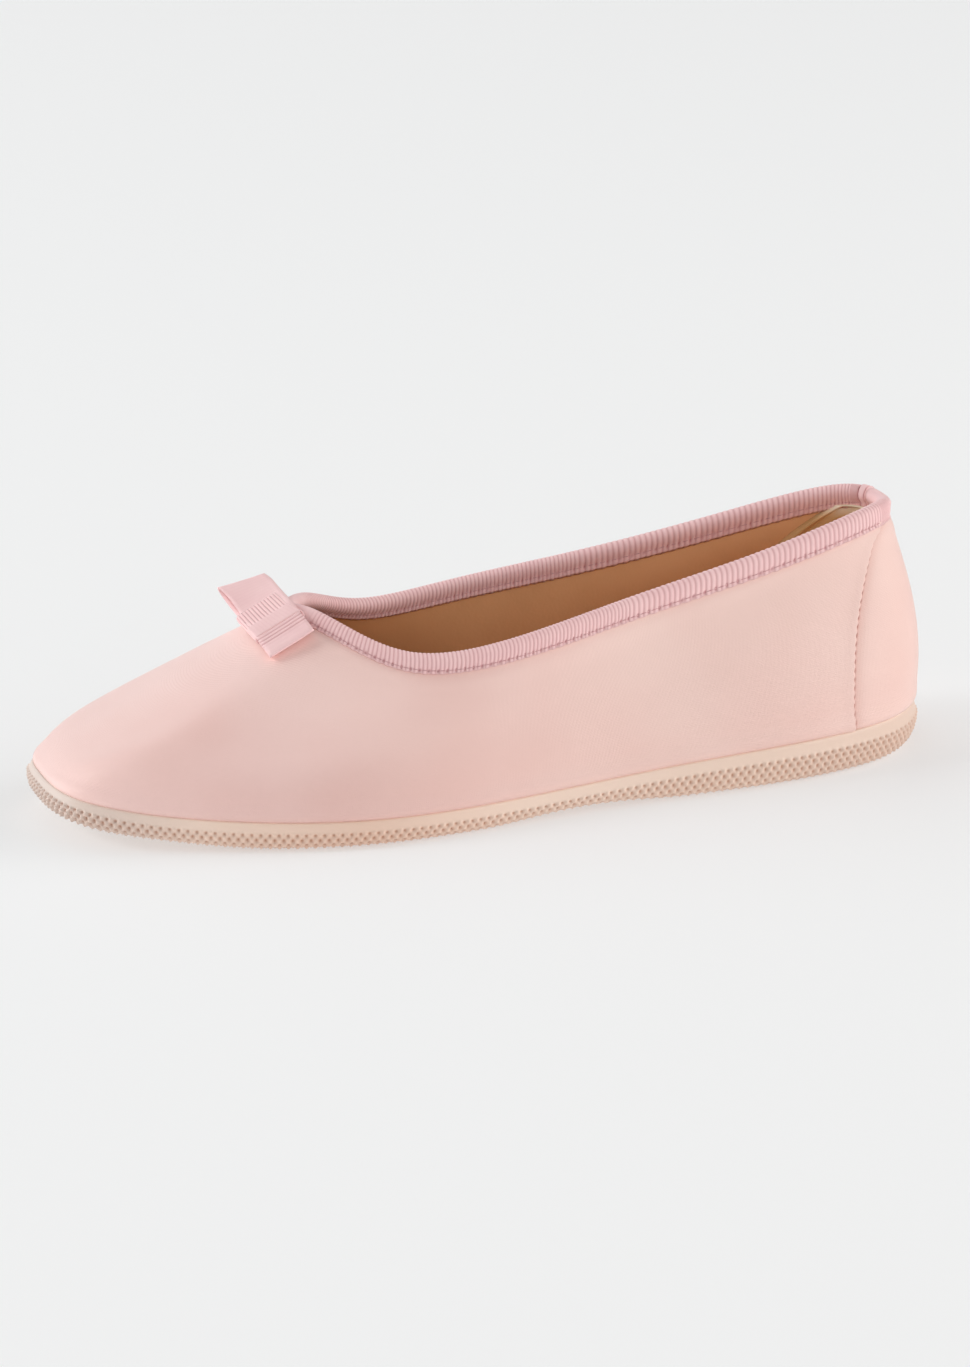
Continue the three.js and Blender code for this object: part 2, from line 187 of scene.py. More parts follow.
def shellPoint(turn, rise, out):
    return wallPoint(turn, rise) + np.asarray(out, float)[..., None] * wallNormal(turn, rise)


def riseBelow(turn, depth):
    return 1 - depth / (3 * last["reach"](turn))


def seamTurn(turn, rise):
    # Where a heel panel's seam passes, as a share of the way round: upright below, leaning back to the collar
    seen = np.minimum(rise, riseBelow(turn, shoe["bindingDepth"]))
    place = shoe["seamFoot"] + shoe["seamLean"] * seen ** shoe["seamCurl"]
    return place + shoe["seamShift"] + shoe["seamHook"] * ease(shoe["hookFrom"], shoe["hookTo"], seen)


def bentTurn(turn, rise):
    # Meridians near a seam lean back with it
    side = np.where(turn < 0.5, turn, 1 - turn)
    ahead = np.maximum(0, 1 - np.abs(side - shoe["seamFoot"]) / shoe["seamReach"])
    behind = np.maximum(0, (0.5 - side) / (0.5 - shoe["seamFoot"]))
    share = np.where(side < shoe["seamFoot"], ahead, behind)
    bent = side + share * (seamTurn(turn, rise) - shoe["seamFoot"])
    return np.where(turn < 0.5, bent, 1 - bent)


def undersideHeight(x):
    # Lift of the sole's underside at toe, heel and waist, each a squared ramp
    toe = np.maximum(0, (x - shoe["toeSpringStart"]) / shoe["toeSpringRun"]) ** 2 * shoe["toeSpring"]
    heel = np.maximum(0, (shoe["heelSpringEnd"] - x) / shoe["heelSpringEnd"]) ** 2 * shoe["heelSpring"]
    waist = np.maximum(0, 1 - ((x - shoe["archMiddle"]) / shoe["archHalf"]) ** 2) ** 2 * shoe["archLift"]
    return toe + heel + waist


def solePoint(turn, out):
    # Place at a level distance outside the feather line
    return featherPoint(turn) + np.asarray(out, float)[..., None] * outward(featherPoint, turn)


def soleOutline(turn):
    return solePoint(turn, np.full(np.shape(turn), shoe["soleLip"])) * np.array([1, 1, 0])


soleMarks = soleOutline(np.arange(shoe["soleMarks"]) / shoe["soleMarks"])
soleMiddle = (soleMarks.min(axis=0) + soleMarks.max(axis=0)) / 2


# Meshes

def makeObject(name, points, faces, uv=None, shade=None, merge=False):
    # Points in millimetres of the last become a mesh in the frame's metres; uv is in millimetres too
    mesh = bpy.data.meshes.new(name)
    placed = (np.asarray(points).reshape(-1, 3) - soleMiddle) / 1000
    mesh.from_pydata(placed.tolist(), [], [tuple(face) for face in faces])
    if uv is not None:
        layer = mesh.uv_layers.new(name="surface")
        layer.data.foreach_set("uv", (np.asarray(uv).reshape(-1, 2) / 1000).ravel())
    if shade is not None:
        values = mesh.attributes.new("shade", "FLOAT", "POINT")
        values.data.foreach_set("value", np.asarray(shade, float).ravel())
    if merge:
        work = bmesh.new()
        work.from_mesh(mesh)
        bmesh.ops.remove_doubles(work, verts=work.verts, dist=measure["weld"])
        work.to_mesh(mesh)
        work.free()
    mesh.polygons.foreach_set("use_smooth", np.ones(len(mesh.polygons), bool))
    mesh.update()
    thing = bpy.data.objects.new(name, mesh)
    bpy.context.scene.collection.objects.link(thing)
    return thing


def gridFaces(rows, columns, closeRows, closeColumns, start=0):
    # Quads between neighbouring rows and columns of a grid, wrapped where it closes on itself
    up, across = np.arange(rows - (not closeRows)), np.arange(columns - (not closeColumns))
    row, column = (places.ravel() for places in np.meshgrid(up, across, indexing="ij"))
    corners = ((row, column), (row, column + 1), (row + 1, column + 1), (row + 1, column))
    faces = np.stack([start + r % rows * columns + c % columns for r, c in corners], axis=1)
    places = np.stack([np.stack(corner, axis=1) for corner in corners], axis=1)
    return faces, places


def gridObject(name, points, closeRows, closeColumns, uv=None, shade=None):
    # points is rows by columns; uv has one more row and column where the grid closes
    rows, columns = points.shape[:2]
    faces, places = gridFaces(rows, columns, closeRows, closeColumns)
    corners = None if uv is None else uv[places[..., 0], places[..., 1]]
    return makeObject(name, points, faces, corners, shade)


def sheetObject(name, front, back, uv=None, shade=None):
    # A closed sheet: a front grid, a back grid and a rim; columns crossed with rows point out of the front
    rows, columns = front.shape[:2]
    one = rows * columns
    faces = gridFaces(rows, columns, False, False)[0]
    index = np.arange(one).reshape(rows, columns)
    rim = np.concatenate([index[0, :-1], index[:-1, -1], index[-1, :0:-1], index[:0:-1, 0]])
    following = np.roll(rim, -1)
    sides = np.stack([rim, rim + one, following + one, following], axis=1)
    allFaces = np.concatenate([faces, faces[:, ::-1] + one, sides])
    corners = None if uv is None else uv[:rows, :columns].reshape(-1, 2)[allFaces % one]
    points = np.concatenate([front.reshape(-1, 3), back.reshape(-1, 3)])
    if shade is not None:
        shade = np.concatenate([shade.ravel(), np.zeros(one)])
    return makeObject(name, points, allFaces, corners, shade)


def ladder(ring, rungs):
    # Straight rungs across a closed ring, from each place on its outer half to the one on its inner half
    half = len(ring) // 2
    partner = (-np.arange(half + 1)) % len(ring)
    share = np.linspace(0, 1, rungs + 1)[:, None, None]
    return ring[:half + 1] * (1 - share) + ring[partner] * share


def runLength(points, axis):
    # Length run along one axis of a grid of points, from 0
    steps = np.linalg.norm(np.diff(points, axis=axis), axis=-1)
    start = np.zeros_like(np.take(steps, [0], axis=axis))
    return np.concatenate([start, np.cumsum(steps, axis=axis)], axis=axis)


def closedLength(points):
    # Length run along a closed ring of points, back to the first
    return runLength(np.concatenate([points, points[:1]]), 0)


def curveLength(curve):
    return runLength(curve(np.linspace(0, 1, measure["collarMarks"])), 0)[-1]


def evenTurns(curve, count):
    # Turns at which a closed curve is cut into pieces of equal length
    fine = np.linspace(0, 1, measure["collarMarks"])
    length = runLength(curve(fine), 0)
    return np.interp(np.arange(count) / count * length[-1], length, fine)


def smoothLoop(places, count):
    # A closed smooth curve through a short list of places, at evenly spaced shares of its length
    places = np.array(places, float)
    curves = [roundSpline(places[:, k]) for k in range(places.shape[1])]
    fine = np.linspace(0, 1, measure["sectionMarks"])
    length = runLength(np.stack([curve(fine) for curve in curves], axis=-1), 0)
    share = np.interp(np.arange(count) / count * length[-1], length, fine)
    return np.stack([curve(share) for curve in curves], axis=-1)


def smoothed(rows, times):
    # Each inner row moves half way to the middle of its two neighbours
    for _ in range(times):
        rows[1:-1] = 0.25 * rows[:-2] + 0.5 * rows[1:-1] + 0.25 * rows[2:]
    return rows


# Shaders

class Socket:
    # A shader value: operators add Math nodes, make adds any other node
    def __init__(self, tree, link=None):
        self.tree = tree
        self.link = link

    def make(self, kind, settings=None, inputs=None, output=0):
        node = self.tree.nodes.new("ShaderNode" + kind)
        for name, value in (settings or {}).items():
            if name == "stops":
                ramp = node.color_ramp.elements
                ramp[0].color, ramp[-1].color = value[0][1], value[-1][1]
                for place, colour in value[1:-1]:
                    ramp.new(place).color = colour
            else:
                setattr(node, name, value)
        for name, value in (inputs or {}).items():
            if isinstance(value, Socket):
                self.tree.links.new(value.link, node.inputs[name])
            else:
                node.inputs[name].default_value = value
        return Socket(self.tree, node.outputs[output] if len(node.outputs) else None)

    def maths(self, operation, first, second=0.0):
        return self.make("Math", {"operation": operation}, {0: first, 1: second})

    def __add__(self, other):
        return self.maths("ADD", self, other)

    __radd__ = __add__

    def __sub__(self, other):
        return self.maths("SUBTRACT", self, other)

    def __rsub__(self, other):
        return self.maths("SUBTRACT", other, self)

    def __mul__(self, other):
        return self.maths("MULTIPLY", self, other)

    def mix(self, first, second):
        # self chooses between two colours
        settings = {"data_type": "RGBA", "clamp_factor": True}
        return self.make("Mix", settings, {0: self, 6: first, 7: second}, output=2)

    def between(self, low, high, toLow=0.0, toHigh=1.0):
        ends = {1: low, 2: high, 3: toLow, 4: toHigh}
        return self.make("MapRange", {"clamp": True}, {0: self, **ends})


def linear(red, green, blue):
    # Screen colour from 0 to 255 to the shader's linear colour
    parts = [c / 255 for c in (red, green, blue)]
    return tuple(c / 12.92 if c < 0.04045 else ((c + 0.055) / 1.055) ** 2.4 for c in parts) + (1.0,)


def newMaterial(name):
    # A material, its empty graph and the object's own coordinates in it
    material = bpy.data.materials.new(name)
    material.use_nodes = True
    material.node_tree.nodes.clear()
    graph = Socket(material.node_tree)
    return material, graph, graph.make("TexCoord", None, None, output=3)


def finishMaterial(graph, colour, roughness, normal=None, fixed=None):
    inputs = {"Base Color": colour, "Roughness": roughness}
    if normal is not None:
        inputs["Normal"] = normal
    inputs.update(fixed or {})
    surface = graph.make("BsdfPrincipled", None, inputs)
    graph.make("OutputMaterial", None, {"Surface": surface})


def noise(graph, where, scale, detail=3.0):
    return graph.make("TexNoise", None, {"Vector": where, "Scale": scale, "Detail": detail})


# Most of a noise lies between these
noiseSpan = (0.3, 0.7)


def blotches(graph, where, scale, detail=3.0, most=1.0):
    # Soft patches from 0 to most
    return noise(graph, where, scale, detail).between(*noiseSpan, 0.0, most)


def bump(graph, height, distance, strength=1.0, normal=None):
    inputs = {"Height": height, "Distance": distance, "Strength": strength}
    if normal is not None:
        inputs["Normal"] = normal
    return graph.make("Bump", None, inputs)


def shadeOf(graph):
    # The mesh's share of the material's second colour: mostly painted shade, cream on the grip
    return graph.make("Attribute", {"attribute_name": "shade"}, None, output=2)


def axisOf(graph, vector, axis):
    return graph.make("SeparateXYZ", None, {"Vector": vector}, output=axis)


def surfacePlaces(graph):
    # The two numbers of the piece's own flat coordinates
    surface = graph.make("UVMap", {"uv_map": "surface"})
    return [axisOf(graph, surface, axis) for axis in (0, 1)]


def waves(graph, value, pitch):
    return graph.maths("SINE", value * (2 * math.pi / pitch))


# The fold colour is the cloth's painted shade and painted shadow, mixed in by the mesh's shade
clothLook = {"quarter": (251, 217, 207), "quarterDeep": (245, 206, 196), "vamp": (253, 217, 210),
             "vampDeep": (247, 206, 198), "fold": (190, 130, 118), "forward": (-0.03, 0.07), "blotch": 22.0,
             "twillPitch": 0.00062, "twillRun": 0.8, "twillSlants": (0.7, -0.6), "twillDepth": 0.00006,
             "twillStrength": 0.6, "fibre": 2600.0, "wave": 60.0, "waveDepth": 0.0006, "waveStrength": 0.25,
             "roughness": 0.47, "uneven": 0.15, "sheen": 0.34, "sheenRoughness": 0.4}


def clothMaterial():
    # Satin microfibre: fine slanted twill, faint blotches, a soft nap, and the fold colour as painted shade
    # where the mesh's shade is
    look = clothLook
    material, graph, where = newMaterial("satinCloth")
    across, upward = surfacePlaces(graph)
    forward = axisOf(graph, where, 0).between(*look["forward"])
    pale = forward.mix(linear(*look["quarter"]), linear(*look["vamp"]))
    deep = forward.mix(linear(*look["quarterDeep"]), linear(*look["vampDeep"]))
    base = blotches(graph, where, look["blotch"], 2.0).mix(pale, deep)
    # Painted shade and painted shadow from the mesh's shade, in the fold colour
    colour = shadeOf(graph).mix(base, linear(*look["fold"]))
    twill = [waves(graph, across * look["twillRun"] + upward * slant, look["twillPitch"])
             for slant in look["twillSlants"]]
    fibre = noise(graph, where, look["fibre"], 2.0)
    normal = bump(graph, twill[0] * twill[1] * 0.5 + fibre, look["twillDepth"], look["twillStrength"])
    swell = noise(graph, where, look["wave"], 2.0)
    normal = bump(graph, swell, look["waveDepth"], look["waveStrength"], normal)
    rough = look["roughness"] + (fibre - 0.5) * look["uneven"]
    nap = {"Sheen Weight": look["sheen"], "Sheen Roughness": look["sheenRoughness"]}
    finishMaterial(graph, colour, rough, normal, nap)
    return material


# The groove colour is the ribbon's painted shade: in the rib grooves, needle holes and end lines, and a little
# on the inner face
ribbonLook = {"pale": (253, 213, 212), "deep": (248, 205, 205), "groove": (196, 128, 130), "blotch": 120.0,
              "threadPitch": 0.00030, "threadShare": 0.4, "threadDepth": 0.00003, "threadStrength": 0.5,
              "fibre": 3000.0, "roughness": 0.62, "uneven": 0.2, "sheen": 0.2, "sheenRoughness": 0.35}


def ribbonMaterial():
    # Grosgrain: the ribs are in the mesh, fine warp threads run along the ribbon, and the groove colour is
    # painted shade where the mesh's shade is
    look = ribbonLook
    material, graph, where = newMaterial("grosgrain")
    patches = blotches(graph, where, look["blotch"])
    base = patches.mix(linear(*look["pale"]), linear(*look["deep"]))
    colour = shadeOf(graph).mix(base, linear(*look["groove"]))
    threads = waves(graph, surfacePlaces(graph)[1], look["threadPitch"])
    fibre = noise(graph, where, look["fibre"], 2.0)
    relief = threads * look["threadShare"] + fibre
    normal = bump(graph, relief, look["threadDepth"], look["threadStrength"])
    rough = look["roughness"] + (fibre - 0.5) * look["uneven"]
    nap = {"Sheen Weight": look["sheen"], "Sheen Roughness": look["sheenRoughness"]}
    finishMaterial(graph, colour, rough, normal, nap)
    return material


# The pit colour is painted shade for the pits of the side's pattern
rubberLook = {"pale": (247, 221, 204), "deep": (240, 211, 191), "heel": (228, 200, 184),
              "toe": (218, 200, 190), "ball": (240, 206, 186), "pit": (178, 114, 76), "halfLength": 0.12,
              "blotch": 45.0, "deepMost": 0.35, "grain": 1800.0, "grainDepth": 0.00004, "grainStrength": 0.5,
              "treadPitch": 0.0047, "treadDepth": 0.0005, "roughness": 0.45, "patch": 300.0, "uneven": 0.2,
              "specular": 0.45}
# Tones along the sole, from the heel's end to the toe's
rubberTones = ((0.0, "heel"), (0.25, "pale"), (0.5, "pale"), (0.69, "ball"), (0.86, "pale"), (1.0, "toe"))


def rubberMaterial():
    # Moulded rubber: slightly uneven tone, painted shade in the pits of the side's pattern, tread underneath
    look = rubberLook
    material, graph, where = newMaterial("mouldedRubber")
    along = axisOf(graph, where, 0).between(-look["halfLength"], look["halfLength"])
    stops = [(place, linear(*look[name])) for place, name in rubberTones]
    tone = graph.make("ValToRGB", {"stops": stops}, {0: along})
    patches = blotches(graph, where, look["blotch"], most=look["deepMost"])
    base = patches.mix(tone, linear(*look["deep"]))
    colour = shadeOf(graph).mix(base, linear(*look["pit"]))
    normal = bump(graph, noise(graph, where, look["grain"]), look["grainDepth"], look["grainStrength"])
    tread = [waves(graph, place, look["treadPitch"]) for place in surfacePlaces(graph)]
    normal = bump(graph, tread[0] * tread[1], look["treadDepth"], 1.0, normal)
    rough = look["roughness"] + (noise(graph, where, look["patch"]) - 0.5) * look["uneven"]
    finishMaterial(graph, colour, rough, normal, {"Specular IOR Level": look["specular"]})
    return material


leatherLook = {"forward": (-0.11, 0.03), "blotch": 40.0, "cells": 1100.0, "cellsBlend": 0.6, "wrinkle": 500.0,
               "wrinkleShare": 0.6, "depth": 0.00007, "strength": 0.5, "roughness": 0.5, "uneven": 0.2}
# The lining's heel tones are paler as painted light in the heel's shadowed inside
liningLook = {"pale": (224, 166, 114), "deep": (210, 152, 102), "heel": (244, 194, 146),
              "heelDeep": (234, 182, 134)}
footbedLook = {"pale": (206, 152, 104), "deep": (194, 138, 92), "heel": (206, 152, 104),
               "heelDeep": (194, 138, 92)}


def leatherMaterial(name, tones):
    # Coated lining: pebbled grain from cells, with wrinkles between them; a lining is painted paler to the
    # heel, as painted light in the heel's shadowed inside
    look = leatherLook
    material, graph, where = newMaterial(name)
    forward = axisOf(graph, where, 0).between(*look["forward"])
    pale = forward.mix(linear(*tones["heel"]), linear(*tones["pale"]))
    deep = forward.mix(linear(*tones["heelDeep"]), linear(*tones["deep"]))
    base = blotches(graph, where, look["blotch"], 4.0).mix(pale, deep)
    pebbles = {"Vector": where, "Scale": look["cells"], "Smoothness": look["cellsBlend"]}
    cells = graph.make("TexVoronoi", {"feature": "SMOOTH_F1"}, pebbles)
    wrinkle = noise(graph, where, look["wrinkle"], 4.0)
    normal = bump(graph, 1 - cells + wrinkle * look["wrinkleShare"], look["depth"], look["strength"])
    finishMaterial(graph, base, look["roughness"] + (wrinkle - 0.5) * look["uneven"], normal)
    return material


gripLook = {"tan": (228, 184, 126), "tanDeep": (212, 166, 108), "cream": (248, 236, 212), "blotch": 60.0,
            "nap": 1500.0, "napDepth": 0.00006, "napStrength": 0.5, "roughness": 0.55, "uneven": 0.1,
            "sheen": 0.15}


def gripMaterial():
    # Soft grip with a short nap, tan below and cream towards the collar
    look = gripLook
    material, graph, where = newMaterial("brushedGrip")
    nap = noise(graph, where, look["nap"], 4.0)
    base = blotches(graph, where, look["blotch"]).mix(linear(*look["tan"]), linear(*look["tanDeep"]))
    base = shadeOf(graph).mix(base, linear(*look["cream"]))
    normal = bump(graph, nap, look["napDepth"], look["napStrength"])
    rough = look["roughness"] + (nap - 0.5) * look["uneven"]
    finishMaterial(graph, base, rough, normal, {"Sheen Weight": look["sheen"]})
    return material


threadLook = {"pale": (222, 172, 173), "deep": (196, 142, 143), "ply": 1600.0, "depth": 0.00005,
              "strength": 0.6, "roughness": 0.6, "uneven": 0.1}


def threadMaterial():
    # Twisted sewing thread: uneven plies from the object's own coordinates
    look = threadLook
    material, graph, where = newMaterial("sewingThread")
    ply = noise(graph, where, look["ply"], 2.0)
    base = ply.between(*noiseSpan).mix(linear(*look["pale"]), linear(*look["deep"]))
    rough = look["roughness"] + (ply - 0.5) * look["uneven"]
    finishMaterial(graph, base, rough, bump(graph, ply, look["depth"], look["strength"]))
    return material


looks = {
    "cloth": clothMaterial(),
    "ribbon": ribbonMaterial(),
    "rubber": rubberMaterial(),
    "lining": leatherMaterial("tanLining", liningLook),
    "footbed": leatherMaterial("tanFootbed", footbedLook),
    "grip": gripMaterial(),
    "thread": threadMaterial(),
}


def dress(piece, look, slot, *nodes):
    piece.data.materials.append(looks[look])
    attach(piece, "root")
    if nodes:
        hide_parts(*nodes)
    return piece


# Upper

upperShape = {"columns": 520, "rows": 112, "rowsPower": 0.9, "innerRows": 14, "innerStep": 4.0,
              "thickness": 1.2, "seamColumns": 34, "seamHalf": 3.2 / 560, "roll": 1.3, "rollHeight": 1.6,
              "rollWidth": 2.6, "rollFrom": -0.6, "rollTo": 1.0, "tipEase": 0.8, "toeTip": 0.06,
              "heelTip": 0.07, "puff": 0.3, "puffDepth": 7.0, "puffWidth": 2.2, "toeFullness": 0.9,
              "toeFullWidth": 0.12, "toeFullFrom": (0.12, 0.4), "toeFullTo": (0.75, 1.0),
              "heelFullness": 0.6, "heelFullWidth": 0.08, "toeBlunt": 0.9, "toeBluntWidth": 0.045,
              "toeBluntTo": (0.15, 0.6), "wave": 0.06, "waveHeight": (4, 16), "waveDepth": (5, 14),
              "toeShade": 0.1, "toeShadeTo": (-0.2, 0.9), "toeShadeWidth": 0.12, "lowShade": 0.19,
              "lowShadeMiddle": 0.17, "lowShadeWidth": 0.075, "lowShadeTo": (6.0, 26.0), "collarShade": 0.09,
              "collarShadeTo": (4.0, 9.0), "collarShadeFrom": (0.1, 0.2)}
# Slow waves of the cloth: height, waves round the shoe, waves up it, start
clothWaves = ((1.0, 7, 0.9, 0.0), (0.7, 13, -1.4, 1.1))
# The heel panel's seam: a soft ridge ahead of it, the panel's step with a scalloped edge, and needle holes,
# with painted shade in the holes, along the step's edge and on the panel beside it
seamShape = {"stitchPitch": 2.33, "scallop": 0.25, "stepHalf": 0.2, "ridge": 0.35, "ridgePlace": -0.4,
             "ridgeAhead": 2.6, "ridgeBehind": 0.4, "valleyBase": 0.5, "valleyMore": 1.1,
             "valleyWidth": 2.6, "valleyFrom": (-1.0, 2.5), "holeDepth": 0.45, "holePlace": 0.1,
             "holeWidth": 0.45, "holeLow": (0.5, 2.0), "holeTop": (4.0, 5.5), "holeShade": 0.85,
             "edgeShade": 0.28, "beatShade": 0.3, "edgeShadePlace": 0.25, "edgeShadeWidth": 0.45,
             "sideTone": 0.15, "sideShadePlace": 0.6, "sideShadeWidth": 1.6}


def upperTurns():
    # Even turns, with more beside each seam
    even = np.arange(upperShape["columns"]) / upperShape["columns"]
    half = upperShape["seamHalf"]
    extra = shoe["seamFoot"] + half * np.linspace(-1, 1, upperShape["seamColumns"]) ** 3
    keep = np.abs(fromToe(even) - shoe["seamFoot"]) > half
    return np.sort(np.concatenate([even[keep], extra, 1 - extra]))


def clothRelief(turn, rise, height, depth):
    # Roll over the sole's rim, puff under the binding, fuller ends, blunt toe and slow waves, and painted
    # shade: a painted shadow at the toe's foot, painted shade low on the vamp's side and a painted shadow under
    # the binding
    shape = upperShape
    side = fromToe(turn)
    tip = np.maximum(hump(side, 0.0, shape["toeTip"]), hump(side, 0.5, shape["heelTip"]))
    roll = shape["roll"] * (1 - shape["tipEase"] * tip)
    roll = roll * hump(height, shape["rollHeight"], shape["rollWidth"])
    roll = roll * ease(shape["rollFrom"], shape["rollTo"], height)
    puff = shape["puff"] * hump(depth, shape["puffDepth"], shape["puffWidth"])
    toe = shape["toeFullness"] * hump(side, 0.0, shape["toeFullWidth"])
    toe = toe * ease(*shape["toeFullFrom"], rise) * (1 - ease(*shape["toeFullTo"], rise))
    heel = shape["heelFullness"] * hump(side, 0.5, shape["heelFullWidth"]) * np.sin(np.pi * rise) ** 2
    blunt = shape["toeBlunt"] * hump(side, 0.0, shape["toeBluntWidth"])
    blunt = blunt * (1 - ease(*shape["toeBluntTo"], rise))
    wave = sum(strength * np.sin(2 * np.pi * (around * turn + upward * rise) + start)
               for strength, around, upward, start in clothWaves)
    wave = shape["wave"] * wave * ease(*shape["waveHeight"], height) * ease(*shape["waveDepth"], depth)
    # Painted shadow at the toe's foot by the sole, painted shade low on the vamp's side, painted shadow under
    # the binding
    foot = shape["toeShade"] * (1 - ease(*shape["toeShadeTo"], height)) * hump(side, 0.0, shape["toeShadeWidth"])
    low = shape["lowShade"] * hump(side, shape["lowShadeMiddle"], shape["lowShadeWidth"])
    low = low * (1 - ease(*shape["lowShadeTo"], height))
    collar = shape["collarShade"] * (1 - ease(*shape["collarShadeTo"], depth))
    collar = collar * ease(*shape["collarShadeFrom"], side)
    return roll + puff + toe + heel - blunt + wave, foot + low + collar


def seamRelief(turn, rise, height, depth, speed):
    # Step, ridge and needle holes by the distance from the seam, and the painted shade in them
    shape = seamShape
    off = (fromToe(turn) - seamTurn(turn, rise)) * speed
    beat = beats(height, shape["stitchPitch"])
    panel = ease(-shape["stepHalf"], shape["stepHalf"], off + shape["scallop"] * beat)
    place = shape["ridgePlace"]
    width = np.where(off < place, shape["ridgeAhead"], shape["ridgeBehind"])
    ridge = shape["ridge"] * hump(off, place, width) * (1 - panel)
    valley = shape["valleyBase"] + shape["valleyMore"] * hump(off, 0.0, shape["valleyWidth"])
    valley = shoe["heelPanelDrop"] * panel * valley * ease(*shape["valleyFrom"], height)
    hole = beat ** 3 * hump(off, shape["holePlace"], shape["holeWidth"])
    hole = hole * ease(*shape["holeLow"], height) * ease(*shape["holeTop"], depth)
    # Painted shade along the step's scalloped edge, in the needle holes and on the panel beside the seam;
    # sideTone is the share of painted shade beside it
    edge = shape["edgeShade"] + shape["beatShade"] * beat
    edge = edge * hump(off, shape["edgeShadePlace"], shape["edgeShadeWidth"])
    shadeBeside = shape["sideTone"] * hump(off, shape["sideShadePlace"], shape["sideShadeWidth"]) * (off > 0)
    return ridge - valley - shape["holeDepth"] * hole, shape["holeShade"] * hole + edge + shadeBeside


def makeUpper():
    # Outer face up to the collar, over its edge and back down a face that lies the cloth's thickness inside
    base = upperTurns()
    rows, innerRows = upperShape["rows"], upperShape["innerRows"]
    rise = np.linspace(0, 1, rows)[:, None] ** upperShape["rowsPower"] * np.ones(len(base))
    turn = bentTurn(base[None, :], rise)
    outer = wallPoint(turn, rise)
    height = runLength(outer, 0)
    depth = height[-1:] - height
    nudge = measure["speed"]
    along = wallPoint(turn + nudge, rise) - wallPoint(turn - nudge, rise)
    speed = np.linalg.norm(along, axis=-1) / (2 * nudge)
    relief, tone = clothRelief(turn, rise, height, depth)
    seam, seamShade = seamRelief(turn, rise, height, depth, speed)
    face = shellPoint(turn, rise, relief + seam)
    innerRise = np.linspace(1, 0, innerRows)[:, None] * np.ones(len(base))
    innerTurn = bentTurn(base[None, :], innerRise)
    inside = shellPoint(innerTurn, innerRise, np.full(innerRise.shape, -upperShape["thickness"]))
    # The cloth's painted shade and painted shadow; the inner face has none
    shade = np.concatenate([np.clip(tone + seamShade, 0, 1), np.zeros_like(innerRise)])
    around = closedLength(outer[rows // 2])
    inner = height[-1].mean() + np.arange(1, innerRows + 2) * upperShape["innerStep"]
    uv = np.stack(np.meshgrid(around, np.concatenate([height.mean(axis=1), inner])), axis=-1)
    piece = gridObject("upperCloth", np.concatenate([face, inside]), True, True, uv, shade)
    return dress(piece, "cloth", "upper_fabric", "upper")


liningShape = {"columns": 360, "rows": 44, "backEvery": 4, "back": 1.3, "wave": 0.08, "around": 9,
               "upward": 1.3}


def makeLining():
    # A thin closed wall on the inner side of the cloth, with slow waves that end at its edges
    shape = liningShape
    base = np.arange(shape["columns"]) / shape["columns"]
    up = np.linspace(0, 1, shape["rows"])[:, None] * np.ones(len(base))
    wave = shape["wave"] * np.sin(2 * np.pi * (shape["around"] * base + shape["upward"] * up))
    wave = wave * up * (1 - up) * 4
    face = shellPoint(bentTurn(base[None, :], up), up, wave - shoe["wall"])
    down = up[::-1][::shape["backEvery"]]
    back = shellPoint(bentTurn(base[None, :], down), down, np.full(down.shape, -shape["back"]))
    piece = gridObject("liningWall", np.concatenate([back[::-1], face[::-1]]), True, True)
    return dress(piece, "lining", "footbed")


print("upper")
makeUpper()
makeLining()


# Collar binding

bindingShape = {"ribPitch": 1.1, "perRib": 6, "around": 34, "ribDepth": 0.17, "ribSharpness": 2.6,
                "smoothFrom": 7.0, "smoothTo": 12.0, "lowRibs": 0.6, "lowFade": 0.7, "lowInside": 0.4,
                "hiddenFrom": -2.25, "hiddenTo": 0.25, "hiddenDepth": -0.4, "overFrom": -0.9, "overTo": 0.3,
                "stitchPitch": 2.35, "stitchDepth": 3.5, "innerStitchDepth": 2.9, "faceChange": -1.0,
                "holeDepth": 0.4, "holeWidth": 0.3, "holeSharpness": 6, "scallop": 0.2,
                "scallopFrom": (3.9, 4.4), "ribShade": 0.55, "lowShade": 0.4, "innerShade": 0.04,
                "innerFrom": (0.8, 2.2), "innerAlong": (40.0, 90.0)}
# Section of the binding: depth below the wall's edge and distance out of its face
bindingSection = (
    (4.4, 0.25), (4.5, 0.55), (4.15, 0.76), (3.55, 0.56), (2.8, 0.92), (1.4, 1.1), (0.2, 1.0), (-0.65, 0.5),
    (-1.15, -0.3), (-1.25, -1.0), (-1.15, -1.7), (-0.65, -2.5), (0.2, -3.0), (1.2, -3.1), (2.2, -2.95),
    (2.9, -2.6), (3.8, -2.85), (4.45, -2.6), (4.4, -2.3), (2.2, -2.2), (0.0, -2.15), (-0.35, -1.0),
    (0.0, 0.15), (2.2, 0.2),
)
# The binding behind the heel: pressed flat outside with its edge tucked into the cloth, shorter inside
heelBinding = {"width": 0.06, "calmWidth": 0.1, "flat": 0.8, "flatFrom": (0.3, 2.0), "tuck": 0.45,
               "tuckFrom": (1.8, 3.8), "short": 0.27, "shortPlace": 0.53, "shortWidth": 0.045,
               "shortFrom": (0.8, 2.0), "shortDepth": (0.0, 1.0)}
